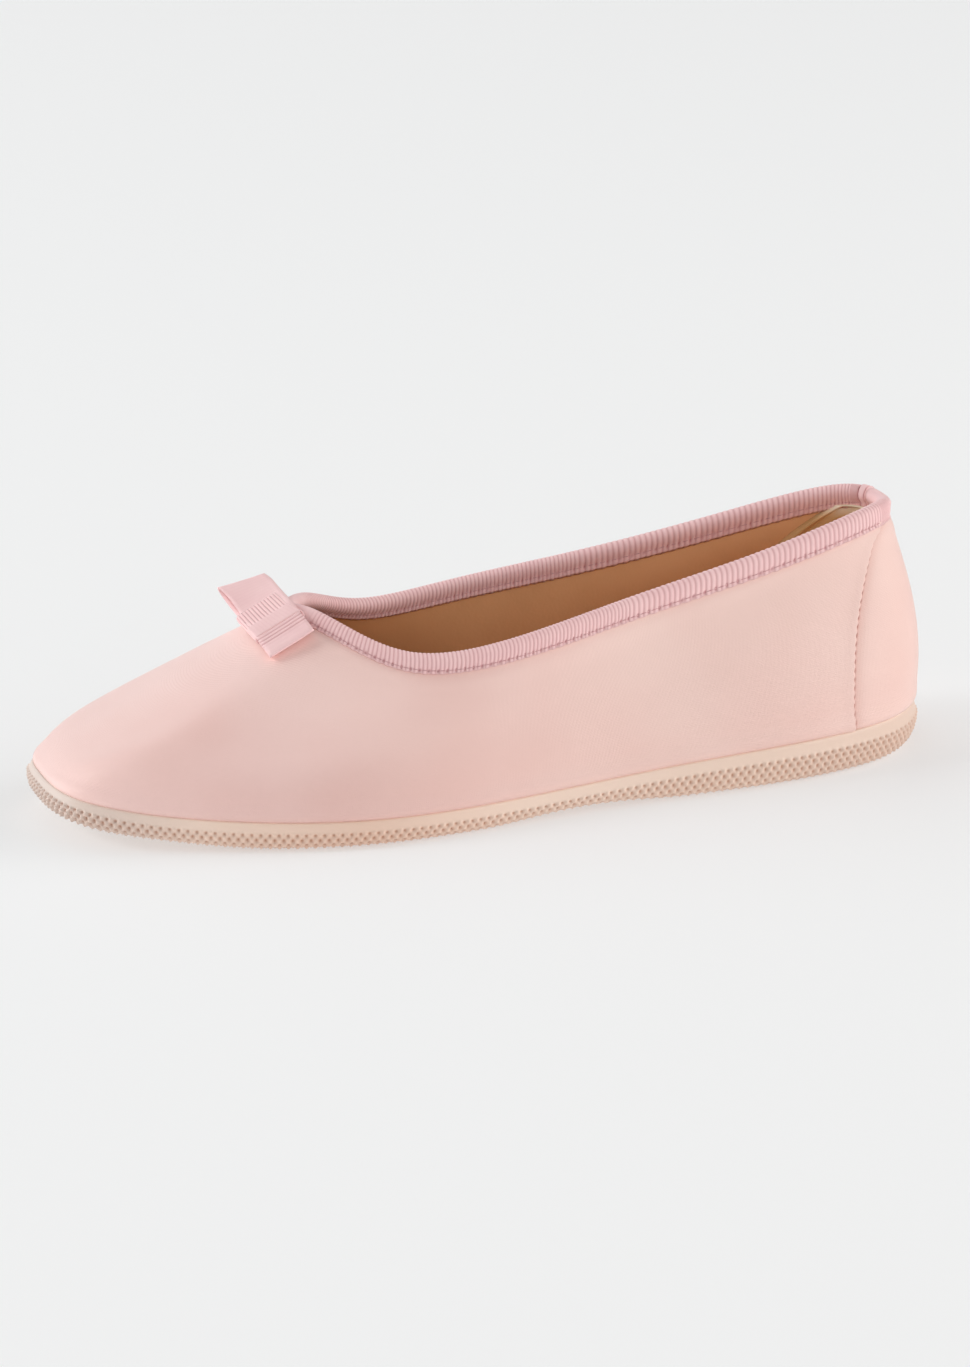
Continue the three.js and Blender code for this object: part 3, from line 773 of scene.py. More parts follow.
# The ribbon's two ends meet at the heel: a smooth lap, then a folded ridge and a rounded lobe on the inside
ribbonEnds = {"slant": 0.004, "slantFrom": (0.5, 3.0), "lapFrom": 0.441, "lapFade": 0.006, "lapTo": 0.556,
              "lapCut": 0.0012, "lobeTo": 0.575, "lobeCut": 0.0015, "smoothness": 0.9, "lobe": 0.8,
              "foldBack": 0.0025, "foldWidth": 0.0016, "height": 0.45, "lineDepth": 0.35, "lineShade": 0.9,
              "lapLine": (0.8, 0.001, 0.0014), "lobeLine": (1.0, 0.0012, 0.0018)}


def collarPoint(turn, depth, out):
    # Below the edge the binding follows the wall, above it the wall's last direction
    below = np.maximum(depth, 0)
    rise = riseBelow(turn, below)
    bent = bentTurn(turn, rise)
    over = np.maximum(-depth, 0)[..., None]
    return shellPoint(bent, rise, out) + over * collarDirection(bent)


def apexDistance(turn):
    # Distance along the collar from the middle of the throat
    fine = np.linspace(0, 1, measure["collarMarks"])
    length = runLength(topPoint(fine), 0)
    run = np.interp(turn % 1.0, fine, length)
    return np.minimum(run, length[-1] - run)


def endRelief(turn, depth):
    # Shares of the lap and the lobe, the height that the lobe and its fold add, and the lines where they end
    ends = ribbonEnds
    slant = turn + ends["slant"] * ease(*ends["slantFrom"], depth) ** 2
    fade, cut, lobeCut = ends["lapFade"], ends["lapCut"], ends["lobeCut"]
    lap = ease(-fade, fade, slant - ends["lapFrom"]) * ease(-cut, cut, ends["lapTo"] - slant)
    lobe = ease(-cut, cut, slant - ends["lapTo"]) * ease(-lobeCut, lobeCut, ends["lobeTo"] - slant)
    fold = hump(slant, ends["lapTo"] - ends["foldBack"], ends["foldWidth"])
    lines = 0
    for name in ("lap", "lobe"):
        strength, past, width = ends[name + "Line"]
        # Shares of the lap and the lobe, the height that the lobe and its fold add, and the lines where they
        # end, which are sunk and get painted shade
        lines = lines + strength * hump(slant, ends[name + "To"] + past, width)
    return lap, lobe, ends["height"] * (ends["lobe"] * lobe + fold), lines


def makeBinding():
    # The section is carried round the collar's edge, with a rib every pitch of its length
    shape, heel = bindingShape, heelBinding
    total = curveLength(topPoint)
    count = round(total / shape["ribPitch"]) * shape["perRib"]
    turn = evenTurns(topPoint, count)[None, :]
    section = smoothLoop(bindingSection, shape["around"])
    depth, out = section[:, :1] * np.ones(count), section[:, 1:] * np.ones(count)
    place = np.arange(count)
    groove = beats(place, shape["perRib"]) ** shape["ribSharpness"]
    beat = beats(place * round(total / shape["stitchPitch"]), count)
    lap, lobe, raised, lines = endRelief(turn, depth)
    behind, calm = hump(turn, 0.5, heel["width"]), 1 - hump(turn, 0.5, heel["calmWidth"])
    short = heel["short"] * hump(turn, heel["shortPlace"], heel["shortWidth"])
    depth = depth * (1 - short * ease(*heel["shortFrom"], -out) * ease(*heel["shortDepth"], depth))
    out = out * (1 - heel["flat"] * behind * np.where(out > 0, ease(*heel["flatFrom"], depth), 0))
    out = out - heel["tuck"] * behind * np.where(out > 0, ease(*heel["tuckFrom"], depth), 0)
    throat = apexDistance(turn)
    ribbed = ease(shape["smoothFrom"], shape["smoothTo"], throat)
    ribbed = ribbed * (1 - ribbonEnds["smoothness"] * lap) * (1 - ribbonEnds["smoothness"] * lobe)
    # The section's hidden part, against the wall, stays plain
    hidden = (out > shape["hiddenFrom"]) & (out < shape["hiddenTo"]) & (depth > shape["hiddenDepth"])
    seen = np.where(hidden, 0.0, 1.0)
    outside = out > shape["faceChange"]
    seam = np.where(outside, shape["stitchDepth"], shape["innerStitchDepth"])
    hole = beat ** shape["holeSharpness"] * hump(depth, seam, shape["holeWidth"]) * seen * calm * (1 - lines)
    low = ease(0, shape["lowFade"], depth - seam) * np.where(outside, 1.0, shape["lowInside"])
    sink = shape["ribDepth"] * groove * ribbed * (1 - shape["lowRibs"] * low) + shape["holeDepth"] * hole
    sink = (sink + ribbonEnds["lineDepth"] * lines - raised) * seen
    over = 1 - ease(shape["overFrom"], shape["overTo"], depth)
    shift = np.where(outside, -sink, sink) * (1 - over)
    edge = shape["scallop"] * (beat - 0.5) * ease(*shape["scallopFrom"], depth) * calm
    points = collarPoint(turn * np.ones_like(depth), depth + sink * over - edge, out + shift)
    inner = ease(*shape["innerFrom"], -section[:, 1:]) * ease(*shape["innerAlong"], throat)
    # Painted shade in the rib grooves, less of it on the low band, at the ribbon ends' lines and in the needle
    # holes, and a little painted shade on the inner face
    shade = shape["ribShade"] * groove * ribbed * (1 - shape["lowShade"] * low)
    shade = (shade + ribbonEnds["lineShade"] * lines) * seen
    shade = np.clip(shade + hole + shape["innerShade"] * inner, 0, 1)
    around = np.arange(count + 1) / count * total
    uv = np.stack(np.meshgrid(around, closedLength(section)), axis=-1)
    piece = gridObject("collarRibbon", points, True, True, uv, shade)
    return dress(piece, "ribbon", "ribbon", "collar_binding")


threadShape = {"length": 1.5, "radius": 0.12, "around": 6, "steps": 5, "arch": 0.6, "narrowest": 0.05,
               "outerFace": 0.57, "innerFace": -2.6, "heelGap": 0.095}


def threadMesh(starts, ends, normals):
    # Short rounded threads: each is a tube along a low arc, narrowing to both ends
    radius, around, steps = (threadShape[name] for name in ("radius", "around", "steps"))
    share = np.linspace(0, 1, steps)
    width = np.sqrt(np.clip(1 - (2 * share - 1) ** 4, threadShape["narrowest"], 1))
    angle = (np.arange(around) / around * 2 * np.pi)[None, None, :, None]
    along = unit(ends - starts)
    sideways = unit(np.cross(normals, along))
    arc = radius * np.sin(np.pi * share) * threadShape["arch"]
    centre = starts[:, None] + share[None, :, None] * (ends - starts)[:, None]
    centre = centre + arc[None, :, None] * normals[:, None]
    ring = np.cos(angle) * sideways[:, None, None] + np.sin(angle) * normals[:, None, None]
    points = centre[:, :, None] + radius * width[None, :, None, None] * ring
    firsts = (np.arange(len(starts)) * steps * around)[:, None, None]
    sides = gridFaces(steps, around, False, True)[0][None] + firsts
    caps = np.stack([np.arange(around)[::-1], np.arange(around) + (steps - 1) * around])[None] + firsts
    faces = sides.reshape(-1, 4).tolist() + caps.reshape(-1, around).tolist()
    return makeObject("collarStitches", points, faces)


def makeBindingStitches():
    # A thread every pitch along the groove on both faces of the collar; behind the heel none show outside
    count = round(curveLength(topPoint) / bindingShape["stitchPitch"])
    turn = evenTurns(topPoint, count)
    share = threadShape["length"] / bindingShape["stitchPitch"]
    places = np.arange(count) + (1 - share) / 2
    marks = np.arange(count + 2), np.append(turn, [1.0, 1.0 + turn[1]])
    first, second = np.interp(places, *marks), np.interp(places + share, *marks)
    starts, ends, normals = [], [], []
    for face, sign, name in (("outerFace", 1.0, "stitchDepth"), ("innerFace", -1.0, "innerStitchDepth")):
        keep = (np.abs(first - 0.5) > threadShape["heelGap"]) | (sign < 0)
        start, end = first[keep], second[keep]
        depth, out = (np.full(len(start), value) for value in (bindingShape[name], threadShape[face]))
        starts.append(collarPoint(start, depth, out))
        ends.append(collarPoint(end, depth, out))
        normals.append(sign * wallNormal(start, riseBelow(start, depth)))
    piece = threadMesh(np.concatenate(starts), np.concatenate(ends), np.concatenate(normals))
    return dress(piece, "thread", "ribbon")


print("collar")
makeBinding()
makeBindingStitches()


# Sole

soleShape = {"perStud": 7, "studPitch": 2.36, "rowPitch": 1.6, "rowStart": 0.9, "studHeight": 0.7,
             "stud": 0.6, "pit": 0.9, "toeStuds": 0.7, "toeStudsWidth": 0.07, "latticeTop": (0.3, 1.0),
             "latticeLow": (-0.2, 0.6), "stepRows": 36, "bandRows": 10, "bandRow": 8, "smoothing": 3,
             "across": 24, "floor": 0.02, "toeTuck": 1.5, "toeTuckWidth": 0.055, "heelTuck": 2.1,
             "heelUnder": 1.2, "heelTuckWidth": 0.07, "tuckFrom": (-1.0, 1.5), "lipDraw": 0.4,
             "lipDrawWidth": 0.06, "lipDrawFrom": (1.2, 0.6), "frontBand": 0.5, "frontBandWidth": 0.17,
             "toeDrop": 0.9, "dropFrom": 214.0, "dropTo": 240.0, "studPower": 1.5, "pitPower": 1.2,
             "sideTone": 0.16, "pitShade": 0.62, "pitShadePower": 1.6, "studHighlight": 0.14, "underLift": 0.35}
# Rows of the side, from under its edge to the top of the lip: distance out, the step's share of the height
# and the feather line's, the rest being the ground's, what is added to it, and how far the heel's tuck has gone
soleRows = (
    (-3.4, 0.0, 0.0, 0.35, 0.0), (-1.4, 0.0, 0.0, 0.4, 0.0), (0.2, 0.0, 0.0, 0.6, 0.0),
    (1.3, 0.0, 0.0, 1.15, 0.0), (2.0, 0.0, 0.0, 1.95, 0.2), (2.3, 0.45, 0.0, 1.045, 0.6),
    (2.3, 0.85, 0.0, 0.285, 0.9), (2.1, 1.0, 0.0, 0.0, 1.0), (1.8, 1.0, 0.0, 0.3, 1.0),
    (1.65, 1.0, 0.0, 0.8, 1.0), (1.6, 0.0, 1.0, -0.4, 1.0), (1.45, 0.0, 1.0, 0.2, 1.0),
    (1.15, 0.0, 1.0, 0.6, 1.0), (0.6, 0.0, 1.0, 0.6, 1.0), (0.0, 0.0, 1.0, 0.2, 1.0),
    (-0.5, 0.0, 1.0, -0.3, 1.0),
)
# Rows in the same columns that close the sole below and above
soleBottom = (-4.6, 0.0, 0.0, 0.35, 0.0)
soleTop = (-1.6, 0.0, 1.0, -0.3, 1.0)


def soleGround(x):
    return undersideHeight(x) - soleShape["toeDrop"] * ease(soleShape["dropFrom"], soleShape["dropTo"], x)


def soleRing(turn, row):
    # A row of the side, drawn in at toe and heel
    out, toStep, toFeather, lift, level = row
    shape, side = soleShape, fromToe(turn)
    tuck = shape["toeTuck"] * hump(side, 0.0, shape["toeTuckWidth"])
    tuck = tuck + shape["heelTuck"] * hump(turn, 0.5, shape["heelTuckWidth"])
    under = shape["heelUnder"] * hump(turn, 0.5, shape["heelTuckWidth"])
    draw = shape["lipDraw"] * hump(side, 0.0, shape["lipDrawWidth"])
    inward = tuck * ease(*shape["tuckFrom"], out) + (1 - level) * under
    inward = inward + level * draw * ease(*shape["lipDrawFrom"], out)
    point = solePoint(turn, out - inward)
    feather = last["featherZ"](turn)
    front = shape["frontBand"] * hump(side, 0.0, shape["frontBandWidth"])
    step = feather - shoe["clearance"] - last["band"](turn) * (1 - front)
    ground = (1 - toStep - toFeather) * soleGround(point[:, 0])
    point[:, 2] = ground + toStep * step + toFeather * feather + lift
    return point


def soleSide(turn):
    # The rows are cut again at even lengths and smoothed; gives the length run and that left to the step too
    key = np.stack([soleRing(turn, row) for row in soleRows])
    run = runLength(key, 0)
    low, high = soleShape["stepRows"], soleShape["bandRows"]
    places = np.concatenate([np.linspace(0, 1, low), 1 + np.linspace(0, 1, high)[1:]])[:, None]
    stepRun = run[soleShape["bandRow"]]
    target = np.where(places <= 1, places * stepRun, stepRun + (places - 1) * (run[-1] - stepRun))
    row = np.sum(run[None, :, :] <= target[:, None, :], axis=1) - 1
    row = np.clip(row, 0, len(key) - 2)
    columns = np.arange(len(turn))[None, :] * np.ones_like(row)
    start, end = key[row, columns], key[row + 1, columns]
    part = (target - run[row, columns]) / np.maximum(run[row + 1, columns] - run[row, columns], 1e-9)
    return smoothed(start + part[..., None] * (end - start), soleShape["smoothing"]), target, stepRun - target


def makeSole():
    # The side with a lattice of studs and pits, closed at both ends by ladders
    shape = soleShape
    studs = 2 * round(curveLength(soleOutline) / shape["studPitch"] / 2)
    each = shape["perStud"]
    count = studs * each
    turn = evenTurns(soleOutline, count)
    side, above, below = soleSide(turn)
    around = np.roll(side, -1, axis=1) - np.roll(side, 1, axis=1)
    normal = unit(np.cross(around, np.gradient(side, axis=0)))
    lattice = np.cos(2 * np.pi * np.arange(count) / each)[None, :]
    lattice = lattice * np.cos(np.pi * (below - shape["rowStart"]) / shape["rowPitch"])
    rows = ease(*shape["latticeTop"], below) * ease(*shape["latticeLow"], above)
    bumps = np.clip(lattice, 0, 1) ** shape["studPower"]
    pits = np.clip(-lattice, 0, 1) ** shape["pitPower"]
    tall = shape["studHeight"] * (1 + shape["toeStuds"] * hump(fromToe(turn), 0.0, shape["toeStudsWidth"]))
    side = side + (tall * rows * (shape["stud"] * bumps - shape["pit"] * pits))[..., None] * normal
    side[..., 2] = np.maximum(side[..., 2], shape["floor"])
    # Painted shade in the pits and a painted highlight on the studs' tops, over a darker, more orange tone
    # across the patterned band
    shade = shape["sideTone"] + shape["pitShade"] * pits ** shape["pitShadePower"] - shape["studHighlight"] * bumps
    shade = rows * shade
    # Each end closes through a coarser ring, one place a stud, and a ladder of rungs from side to side
    rungs, half = shape["across"], studs // 2
    base, cover = (ladder(soleRing(turn[::each], row), rungs) for row in (soleBottom, soleTop))
    base[..., 2] = soleGround(base[..., 0]) + shape["underLift"]
    first = side.shape[0] * count
    second = first + base.shape[0] * base.shape[1]
    sideFaces = gridFaces(len(side), count, False, True)[0]
    underFaces = gridFaces(rungs + 1, half + 1, False, False, first)[0][:, ::-1]
    coverFaces = gridFaces(rungs + 1, half + 1, False, False, second)[0]
    # Where the coarse ring's places lie in a ladder: out along its first rung, back along its last
    inRing = np.concatenate([np.arange(half + 1), rungs * (half + 1) + np.arange(half - 1, 0, -1)])
    fine = (np.arange(studs)[:, None] * each + np.arange(each + 1)) % count
    coarse = np.stack([inRing, np.roll(inRing, -1)], axis=1)
    lowFans = np.concatenate([fine[:, ::-1], first + coarse], axis=1)
    highFans = np.concatenate([(len(side) - 1) * count + fine, second + coarse[:, ::-1]], axis=1)
    faceSets = (sideFaces, underFaces, coverFaces, lowFans, highFans)
    faces = [face for part in faceSets for face in part.tolist()]
    points = np.concatenate([part.reshape(-1, 3) for part in (side, base, cover)])
    shade = np.concatenate([shade.ravel(), np.zeros(len(points) - first)])
    # The tread's pattern follows the level place and stays off the side, whose quads come first
    corners = points[np.concatenate([part.ravel() for part in faceSets]), :2]
    corners[:sideFaces.size] = 0
    piece = makeObject("soleRubber", points, faces, corners, shade, merge=True)
    return dress(piece, "rubber", "sole_rubber", "outsole")


print("sole")
makeSole()


# Footbed

footbedShape = {"columns": 300, "rungs": 36, "inset": 2.2, "foot": 0.05, "thickness": 3.0, "edge": 1.0,
                "shoulder": 0.3, "shoulderDrop": 0.15, "edgeDrop": 0.5, "dip": 0.5, "dipRun": 20.0}


def makeFootbed():
    # Side rings along the wall with a rounded upper edge, closed by ladders; the upper one dips in the middle
    shape = footbedShape
    count = shape["columns"]
    turn = np.arange(count) / count
    inset, thick, edge = shape["inset"], shape["thickness"], shape["edge"]
    side = []
    shoulder = inset + shape["shoulder"] * edge, thick - shape["shoulderDrop"]
    for inward, lift in ((inset, shape["foot"]), (inset, 0.5 * thick), (inset, thick - shape["edgeDrop"]),
                         shoulder, (inset + edge, thick)):
        ring = shellPoint(turn, lift / (3 * last["foot"](turn)), np.full(count, -inward))
        ring[:, 2] = last["featherZ"](turn) + lift
        side.append(ring)
    under, cover = ladder(side[0], shape["rungs"]), ladder(side[-1], shape["rungs"])
    share = np.linspace(0, 1, len(cover))[:, None]
    width = np.linalg.norm(cover[0] - cover[-1], axis=-1)
    cover[..., 2] -= shape["dip"] * np.sin(np.pi * share) ** 2 * ease(0, shape["dipRun"], width)
    rows, columns = cover.shape[:2]
    first = len(side) * count
    faces = np.concatenate([gridFaces(len(side), count, False, True)[0],
                            gridFaces(rows, columns, False, False, first)[0][:, ::-1],
                            gridFaces(rows, columns, False, False, first + rows * columns)[0]])
    points = np.concatenate([part.reshape(-1, 3) for part in (np.stack(side), under, cover)])
    piece = makeObject("footbedSheet", points, faces, merge=True)
    return dress(piece, "footbed", "footbed", "insole")


# Heel grip

gripShape = {"columns": 110, "rows": 70, "halfWidth": 0.113, "low": 0.45, "high": 0.93, "arch": 0.4,
             "topSkip": 2.2, "welt": 1.15, "weltWidth": 1.6, "weltFade": (1.8, 4.2), "crease": 4.6,
             "creaseBack": 0.6, "cushion": 1.1, "cushionRun": 3.5, "trough": 0.5, "troughPlace": 9.5,
             "troughWidth": 1.6, "troughFrom": (0.3, 0.8), "stand": 0.15, "base": 0.25, "baseRun": 0.5,
             "back": 0.05, "creamFrom": (0.86, 0.92), "creamSides": (0.055, 0.085)}


def makeGrip():
    # An arched patch on the wall's inner face: a rolled welt round its rim, a crease in it, a soft cushion
    shape = gripShape
    columns, rows = shape["columns"], shape["rows"]
    across = np.linspace(1, -1, columns)[None, :] * np.ones((rows, 1))
    up = np.linspace(0, 1, rows)[:, None] * np.ones(columns)
    climb = up * (shape["high"] - shape["low"]) / (1 - shape["low"])
    turn = 0.5 + shape["halfWidth"] * (1 - climb ** 2) ** shape["arch"] * across
    rise = shape["low"] + (shape["high"] - shape["low"]) * up
    flat = wallPoint(turn, rise)
    toSide, toLow = runLength(flat, 1), runLength(flat, 0)
    toTop = toLow[-1:] - toLow + shape["topSkip"]
    inward = np.minimum(np.minimum(np.minimum(toSide, toSide[:, -1:] - toSide), toTop), toLow)
    welt = shape["welt"] * np.sqrt(np.clip(inward / shape["weltWidth"], 0, 1))
    welt = welt * (1 - ease(*shape["weltFade"], inward))
    crease = shape["crease"]
    cushion = shape["cushion"] * ease(crease - shape["creaseBack"], crease + shape["cushionRun"], inward)
    trough = shape["trough"] * hump(inward, shape["troughPlace"], shape["troughWidth"])
    trough = trough * ease(*shape["troughFrom"], up)
    base = shape["base"] * np.clip(inward / shape["baseRun"], 0, 1)
    front = shellPoint(turn, rise, trough - shoe["wall"] - shape["stand"] - base - welt - cushion)
    back = shellPoint(turn, rise, np.full(turn.shape, -shoe["wall"] - shape["back"]))
    cream = ease(*shape["creamFrom"], rise) * (1 - ease(*shape["creamSides"], np.abs(turn - 0.5)))
    piece = sheetObject("heelGrip", front, back, shade=cream)
    return dress(piece, "grip", "heel_grip", "heel_lining")


# Bow
# Its own frame starts at the middle of the throat: along runs down the vamp's ridge, across to the outer side

bowShape = {"slope": 27.0, "thick": 0.42, "outlinePlaces": 420, "widthSteps": 12, "ribPitch": 1.12,
            "ribStart": 9.5, "ribDepth": 0.18, "faint": 0.06, "ribsFrom": (8.6, 9.0),
            "ribsTo": (12.2, 13.0), "ribShade": 0.6, "farFrom": -0.6, "farTo": 11.8, "nearFrom": -0.5,
            "nearTo": 12.9, "nearRun": (-10.0, 8.0), "twist": 1.8, "twistStart": -5.4, "twistEnd": -17.5,
            "twistMost": 1.05, "cup": 0.1, "spiral": 0.9, "spiralFrom": (0.4, 0.52),
            "spiralTo": (0.62, 0.8)}
# Outer outline of the ribbon's closed loop: across and over, by the top to the far fold and back
ribbonOutline = (
    (15.9, -2.6), (15.3, -1.85), (13.5, -1.05), (11.0, -0.05), (8.2, 0.98), (4.0, 2.45), (0.0, 2.5),
    (-5.0, 2.5), (-8.0, 3.1), (-12.0, 4.4), (-15.5, 5.55), (-17.3, 5.8), (-18.0, 5.1), (-17.8, 4.0),
    (-16.4, 2.8), (-13.5, 1.95), (-10.0, 1.4), (-6.5, 1.25), (-4.0, 1.35), (0.0, 1.45), (4.0, 1.2),
    (8.0, -0.4), (11.0, -1.65), (13.5, -2.7), (15.2, -3.15),
)
wrapShape = {"far": -5.9, "near": 8.5, "top": 2.8, "crease": 4.0, "fall": 0.445, "soft": 0.8, "length": 12.5,
             "columns": 40, "rows": 170, "smoothing": 6, "thick": 0.38, "ribPitch": 0.98, "ribDepth": 0.15,
             "creaseFrom": -0.3, "creaseTo": 0.6, "fadeNear": 0.9, "edgeRibs": 0.25, "ribShade": 0.6,
             "lowEnds": (0.95, 0.75, -0.8), "highEnds": (13.2, 13.3, 12.9)}
# The wrap's path along the ridge, as a share of its length from the collar's end, and its height
wrapPath = ((1.02, -2.2), (1.03, -1.2), (1.02, -0.45), (0.975, -0.06), (0.88, 0.03),
            (0.12, 0.03), (0.025, -0.06), (-0.02, -0.45), (-0.03, -1.2), (-0.02, -2.4))


def bowPoint(along, across, over):
    slope = math.radians(bowShape["slope"])
    ridge = np.array([math.cos(slope), 0, -math.sin(slope)])
    side = np.array([0, 1.0, 0])
    lift = np.cross(ridge, side)
    place = topPoint(np.array(0.0))
    return place + along[..., None] * ridge + across[..., None] * side + over[..., None] * lift


def makeRibbon():
    # The outline is offset inward by the ribbon's thickness; both are carried along the ridge and joined
    shape = bowShape
    count, steps = shape["outlinePlaces"], shape["widthSteps"]
    outline = smoothLoop(ribbonOutline, count)
    tangent = unit(np.roll(outline, -1, axis=0) - np.roll(outline, 1, axis=0))
    normal = np.stack([tangent[:, 1], -tangent[:, 0]], axis=1)
    across, share = outline[:, 0], np.arange(count) / count
    strong = (share < 0.5) * ease(*shape["ribsFrom"], across) * (1 - ease(*shape["ribsTo"], across))
    groove = beats(across - shape["ribStart"], shape["ribPitch"]) ** 3
    groove = groove * (shape["faint"] + (1 - shape["faint"]) * strong)
    lower = shape["spiral"] * ease(*shape["spiralFrom"], share) * (1 - ease(*shape["spiralTo"], share))
    width = np.linspace(0, 1, steps + 1)[:, None]
    tilt = 2 * width - 1
    rings = []
    for sink in (shape["ribDepth"] * groove, np.full(count, shape["thick"])):
        face = outline - normal * sink[:, None]
        far = (shape["twistStart"] - face[:, 0]) / (shape["twistStart"] - shape["twistEnd"])
        far = np.clip(far, 0, shape["twistMost"])
        near = ease(*shape["nearRun"], face[:, 0])
        low = shape["farFrom"] + (shape["nearFrom"] - shape["farFrom"]) * near
        high = shape["farTo"] + (shape["nearTo"] - shape["farTo"]) * near
        over = face[:, 1] + shape["twist"] * far * tilt + shape["cup"] * tilt ** 2
        rings.append(bowPoint(low + (high - low) * width + lower, face[:, 0] * np.ones_like(over), over))
    points = np.concatenate([rings[0], rings[1][::-1]])
    # Painted shade in the rib grooves, on the outer face only
    shade = np.ones((steps + 1, 1)) * shape["ribShade"] * groove[None, :]
    shade = np.concatenate([shade, np.zeros_like(shade)])
    uv = np.stack(np.meshgrid(closedLength(outline), np.arange(len(points) + 1) * 1.0), axis=-1)
    piece = gridObject("bowRibbon", points, True, True, uv, shade)
    return dress(piece, "ribbon", "ribbon", "bow_ribbon")


def makeWrap():
    # A staple-shaped path along the ridge, ribbed across, that bends down towards the outer side
    shape = wrapShape
    across = np.linspace(shape["far"], shape["near"], shape["columns"])
    bend = np.maximum(0, across - shape["crease"])
    level = shape["top"] - shape["fall"] * (np.sqrt(bend ** 2 + shape["soft"] ** 2) - shape["soft"])
    path = np.array(wrapPath) * np.array([shape["length"], 1])
    dense = runLength(path, 0)
    at = np.linspace(0, dense[-1], shape["rows"])
    path = smoothed(np.stack([np.interp(at, dense, path[:, k]) for k in (0, 1)], axis=1), shape["smoothing"])
    tangent = unit(np.gradient(path, axis=0))
    normal = np.stack([tangent[:, 1], -tangent[:, 0]], axis=1)
    fade = ease(shape["crease"] + shape["creaseFrom"], shape["crease"] + shape["creaseTo"], across)
    edge = shape["edgeRibs"] + (1 - shape["edgeRibs"]) * ease(0.0, 1.0, across - shape["far"])
    groove = (beats(at, shape["ribPitch"]) ** 3)[:, None] * ((1 - shape["fadeNear"] * fade) * edge)[None, :]
    knots = shape["far"], shape["crease"], shape["near"]
    low, high = (np.interp(across, knots, shape[name]) for name in ("lowEnds", "highEnds"))
    faces = []
    for sink in (shape["ribDepth"] * groove, np.full(groove.shape, shape["thick"])):
        face = path[:, None, :] - normal[:, None, :] * sink[..., None]
        along = low + (high - low) * face[..., 0] / shape["length"]
        faces.append(bowPoint(along, across * np.ones_like(along), face[..., 1] + level))
    uv = np.stack(np.meshgrid(across, at), axis=-1)
    # The wrap's shade is painted shade in its rib grooves
    piece = sheetObject("bowWrap", faces[0], faces[1], uv, shape["ribShade"] * groove)
    return dress(piece, "ribbon", "ribbon", "bow_wrap")


print("footbed and bow")
makeFootbed()
makeGrip()
makeRibbon()
makeWrap()


# Camera, from the photograph's fitted view

viewShape = {"azimuth": 17.537, "elevation": 18.848, "roll": -0.98, "distance": 2.2755,
             "pixelsPerMetre": 3796.0, "aimFromHeel": 0.125, "aimHeight": 0.0245,
             "aimPixel": (474.12, 689.83), "image": (970, 1367), "sensor": 36.0, "farthest": 50}


def makeCamera():
    azimuth, elevation, roll = (math.radians(viewShape[k]) for k in ("azimuth", "elevation", "roll"))
    level = math.cos(elevation)
    back = Vector((math.sin(azimuth) * level, math.cos(azimuth) * level, math.sin(elevation)))
    right = Vector((-math.cos(azimuth), math.sin(azimuth), 0))
    upright = back.cross(right)
    imageRight = right * math.cos(roll) + upright * math.sin(roll)
    imageUp = upright * math.cos(roll) - right * math.sin(roll)
    aimX, aimY = viewShape["aimFromHeel"] - soleMiddle[0] / 1000, -soleMiddle[1] / 1000
    aim = Vector((aimX, aimY, viewShape["aimHeight"]))
    place = aim + back * viewShape["distance"]
    width, height = viewShape["image"]
    scale = viewShape["pixelsPerMetre"]
    centre = aim + imageRight * ((width / 2 - viewShape["aimPixel"][0]) / scale)
    centre += imageUp * ((viewShape["aimPixel"][1] - height / 2) / scale)
    back = (place - centre).normalized()
    imageRight = imageUp.cross(back).normalized()
    imageUp = back.cross(imageRight)
    camera = bpy.data.cameras.new("photoCamera")
    camera.sensor_width = viewShape["sensor"]
    camera.lens = scale * viewShape["distance"] * viewShape["sensor"] / height
    camera.clip_end = viewShape["farthest"]
    thing = bpy.data.objects.new("photoCamera", camera)
    turning = Matrix((imageRight, imageUp, back)).transposed().to_4x4()
    thing.matrix_world = Matrix.Translation(place) @ turning
    bpy.context.scene.collection.objects.link(thing)
    bpy.context.scene.camera = thing


# Floor and light

studio = {"floor": (0.525, 0.525, 0.525), "floorGlow": 0.41, "floorSize": 9.0, "floorRoughness": 0.9,
          "floorSpecular": 0.1, "world": 0.121, "worldColour": (1.0, 0.99, 0.98), "lampAim": (0, 0, 0.02)}
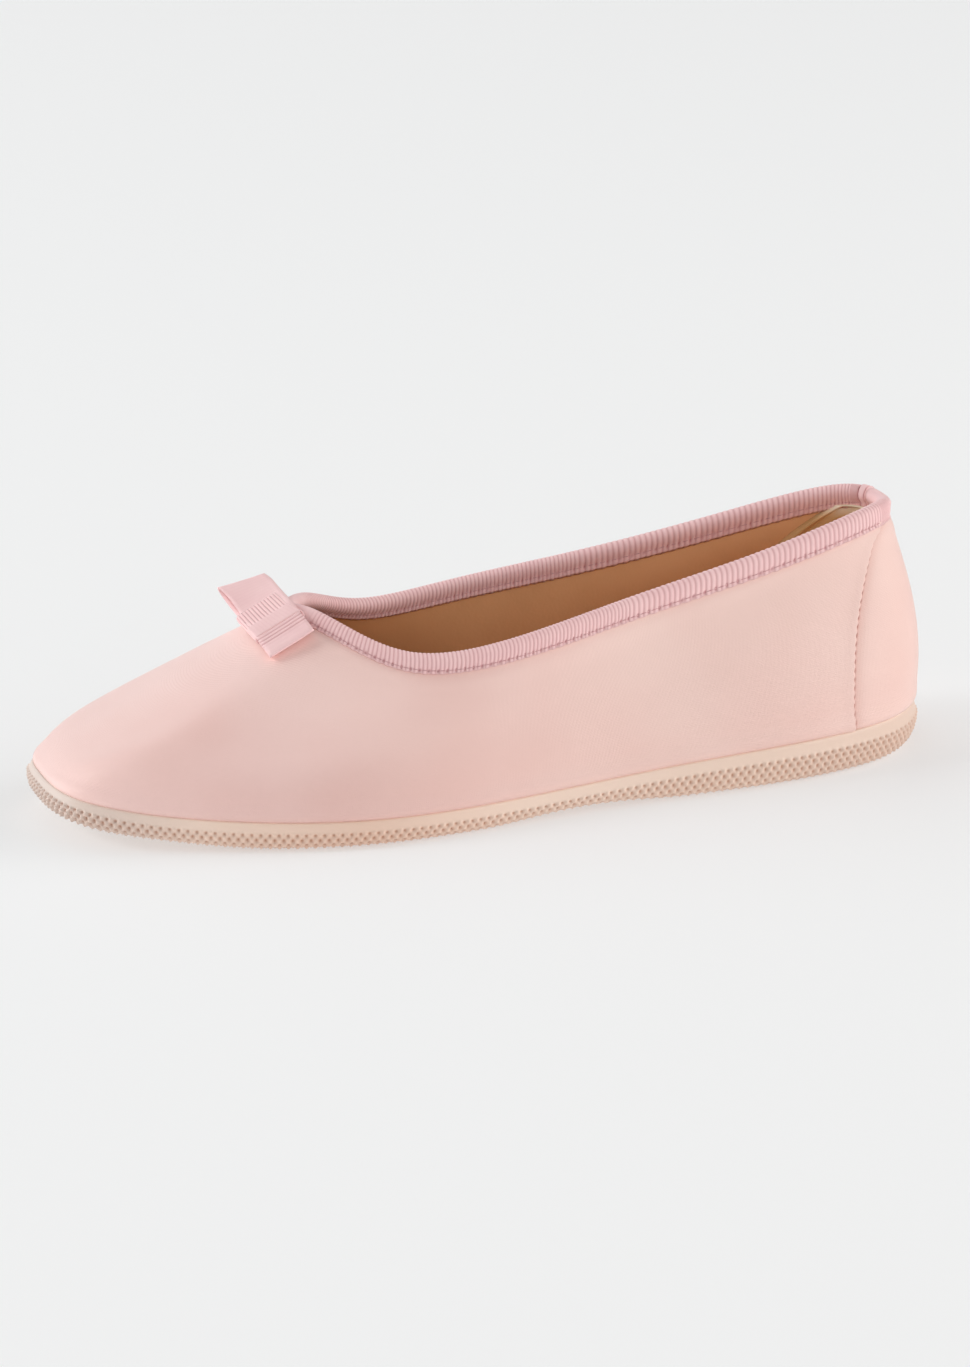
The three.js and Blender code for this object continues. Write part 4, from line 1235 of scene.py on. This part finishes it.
# Area lights: place, size, power, colour
lamps = (
    ("toeSide", (1.9, -0.3, 1.2), 0.8, 10.8, (0.96, 0.99, 1.0)),
    ("toeBack", (1.1, -1.6, 0.9), 4.6, 52.0, (0.96, 0.99, 1.0)),
    ("toeLow", (2.1, -0.9, 0.5), 1.3, 13.0, (0.96, 0.99, 1.0)),
    ("toeFront", (1.7, 1.3, 0.9), 2.0, 7.2, (1.0, 1.0, 1.0)),
    ("heelBack", (-1.9, 0.2, 1.0), 1.2, 17.5, (1.0, 0.99, 0.97)),
    ("heelFront", (-1.6, 1.4, 0.9), 1.8, 15.8, (1.0, 0.99, 0.98)),
    ("front", (0.2, 2.3, 1.1), 1.5, 8.3, (1.0, 1.0, 1.0)),
)


def makeFloor():
    # A level sheet under the sole
    half = studio["floorSize"] / 2
    mesh = bpy.data.meshes.new("studioFloor")
    corners = [(-half, -half, 0), (half, -half, 0), (half, half, 0), (-half, half, 0)]
    mesh.from_pydata(corners, [], [(0, 1, 2, 3)])
    floor = bpy.data.objects.new("studioFloor", mesh)
    bpy.context.scene.collection.objects.link(floor)
    material, graph = newMaterial("paleFloor")[:2]
    glow = {"Emission Color": (1.0, 1.0, 1.0, 1.0), "Emission Strength": studio["floorGlow"]}
    fixed = {"Specular IOR Level": studio["floorSpecular"], **glow}
    finishMaterial(graph, studio["floor"] + (1.0,), studio["floorRoughness"], None, fixed)
    mesh.materials.append(material)
    floor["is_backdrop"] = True


def makeLights():
    # Round lamps that look at the shoe, and a dim even sky
    for name, place, size, power, colour in lamps:
        light = bpy.data.lights.new(name, "AREA")
        light.shape, light.size, light.energy, light.color = "DISK", size, power, colour
        thing = bpy.data.objects.new(name, light)
        turning = (Vector(studio["lampAim"]) - Vector(place)).to_track_quat("-Z", "Y").to_matrix().to_4x4()
        thing.matrix_world = Matrix.Translation(place) @ turning
        bpy.context.scene.collection.objects.link(thing)
    world = bpy.data.worlds.new("studio")
    bpy.context.scene.world = world
    world.use_nodes = True
    sky = world.node_tree.nodes["Background"]
    sky.inputs["Color"].default_value = studio["worldColour"] + (1.0,)
    sky.inputs["Strength"].default_value = studio["world"]


print("camera and light")
makeCamera()
makeFloor()
makeLights()
bpy.context.scene.view_settings.view_transform = "Standard"

boxes = {"cad": cadBox, "visual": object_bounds()}
boxes = {name: [[float(number) for number in corner] for corner in box] for name, box in boxes.items()}
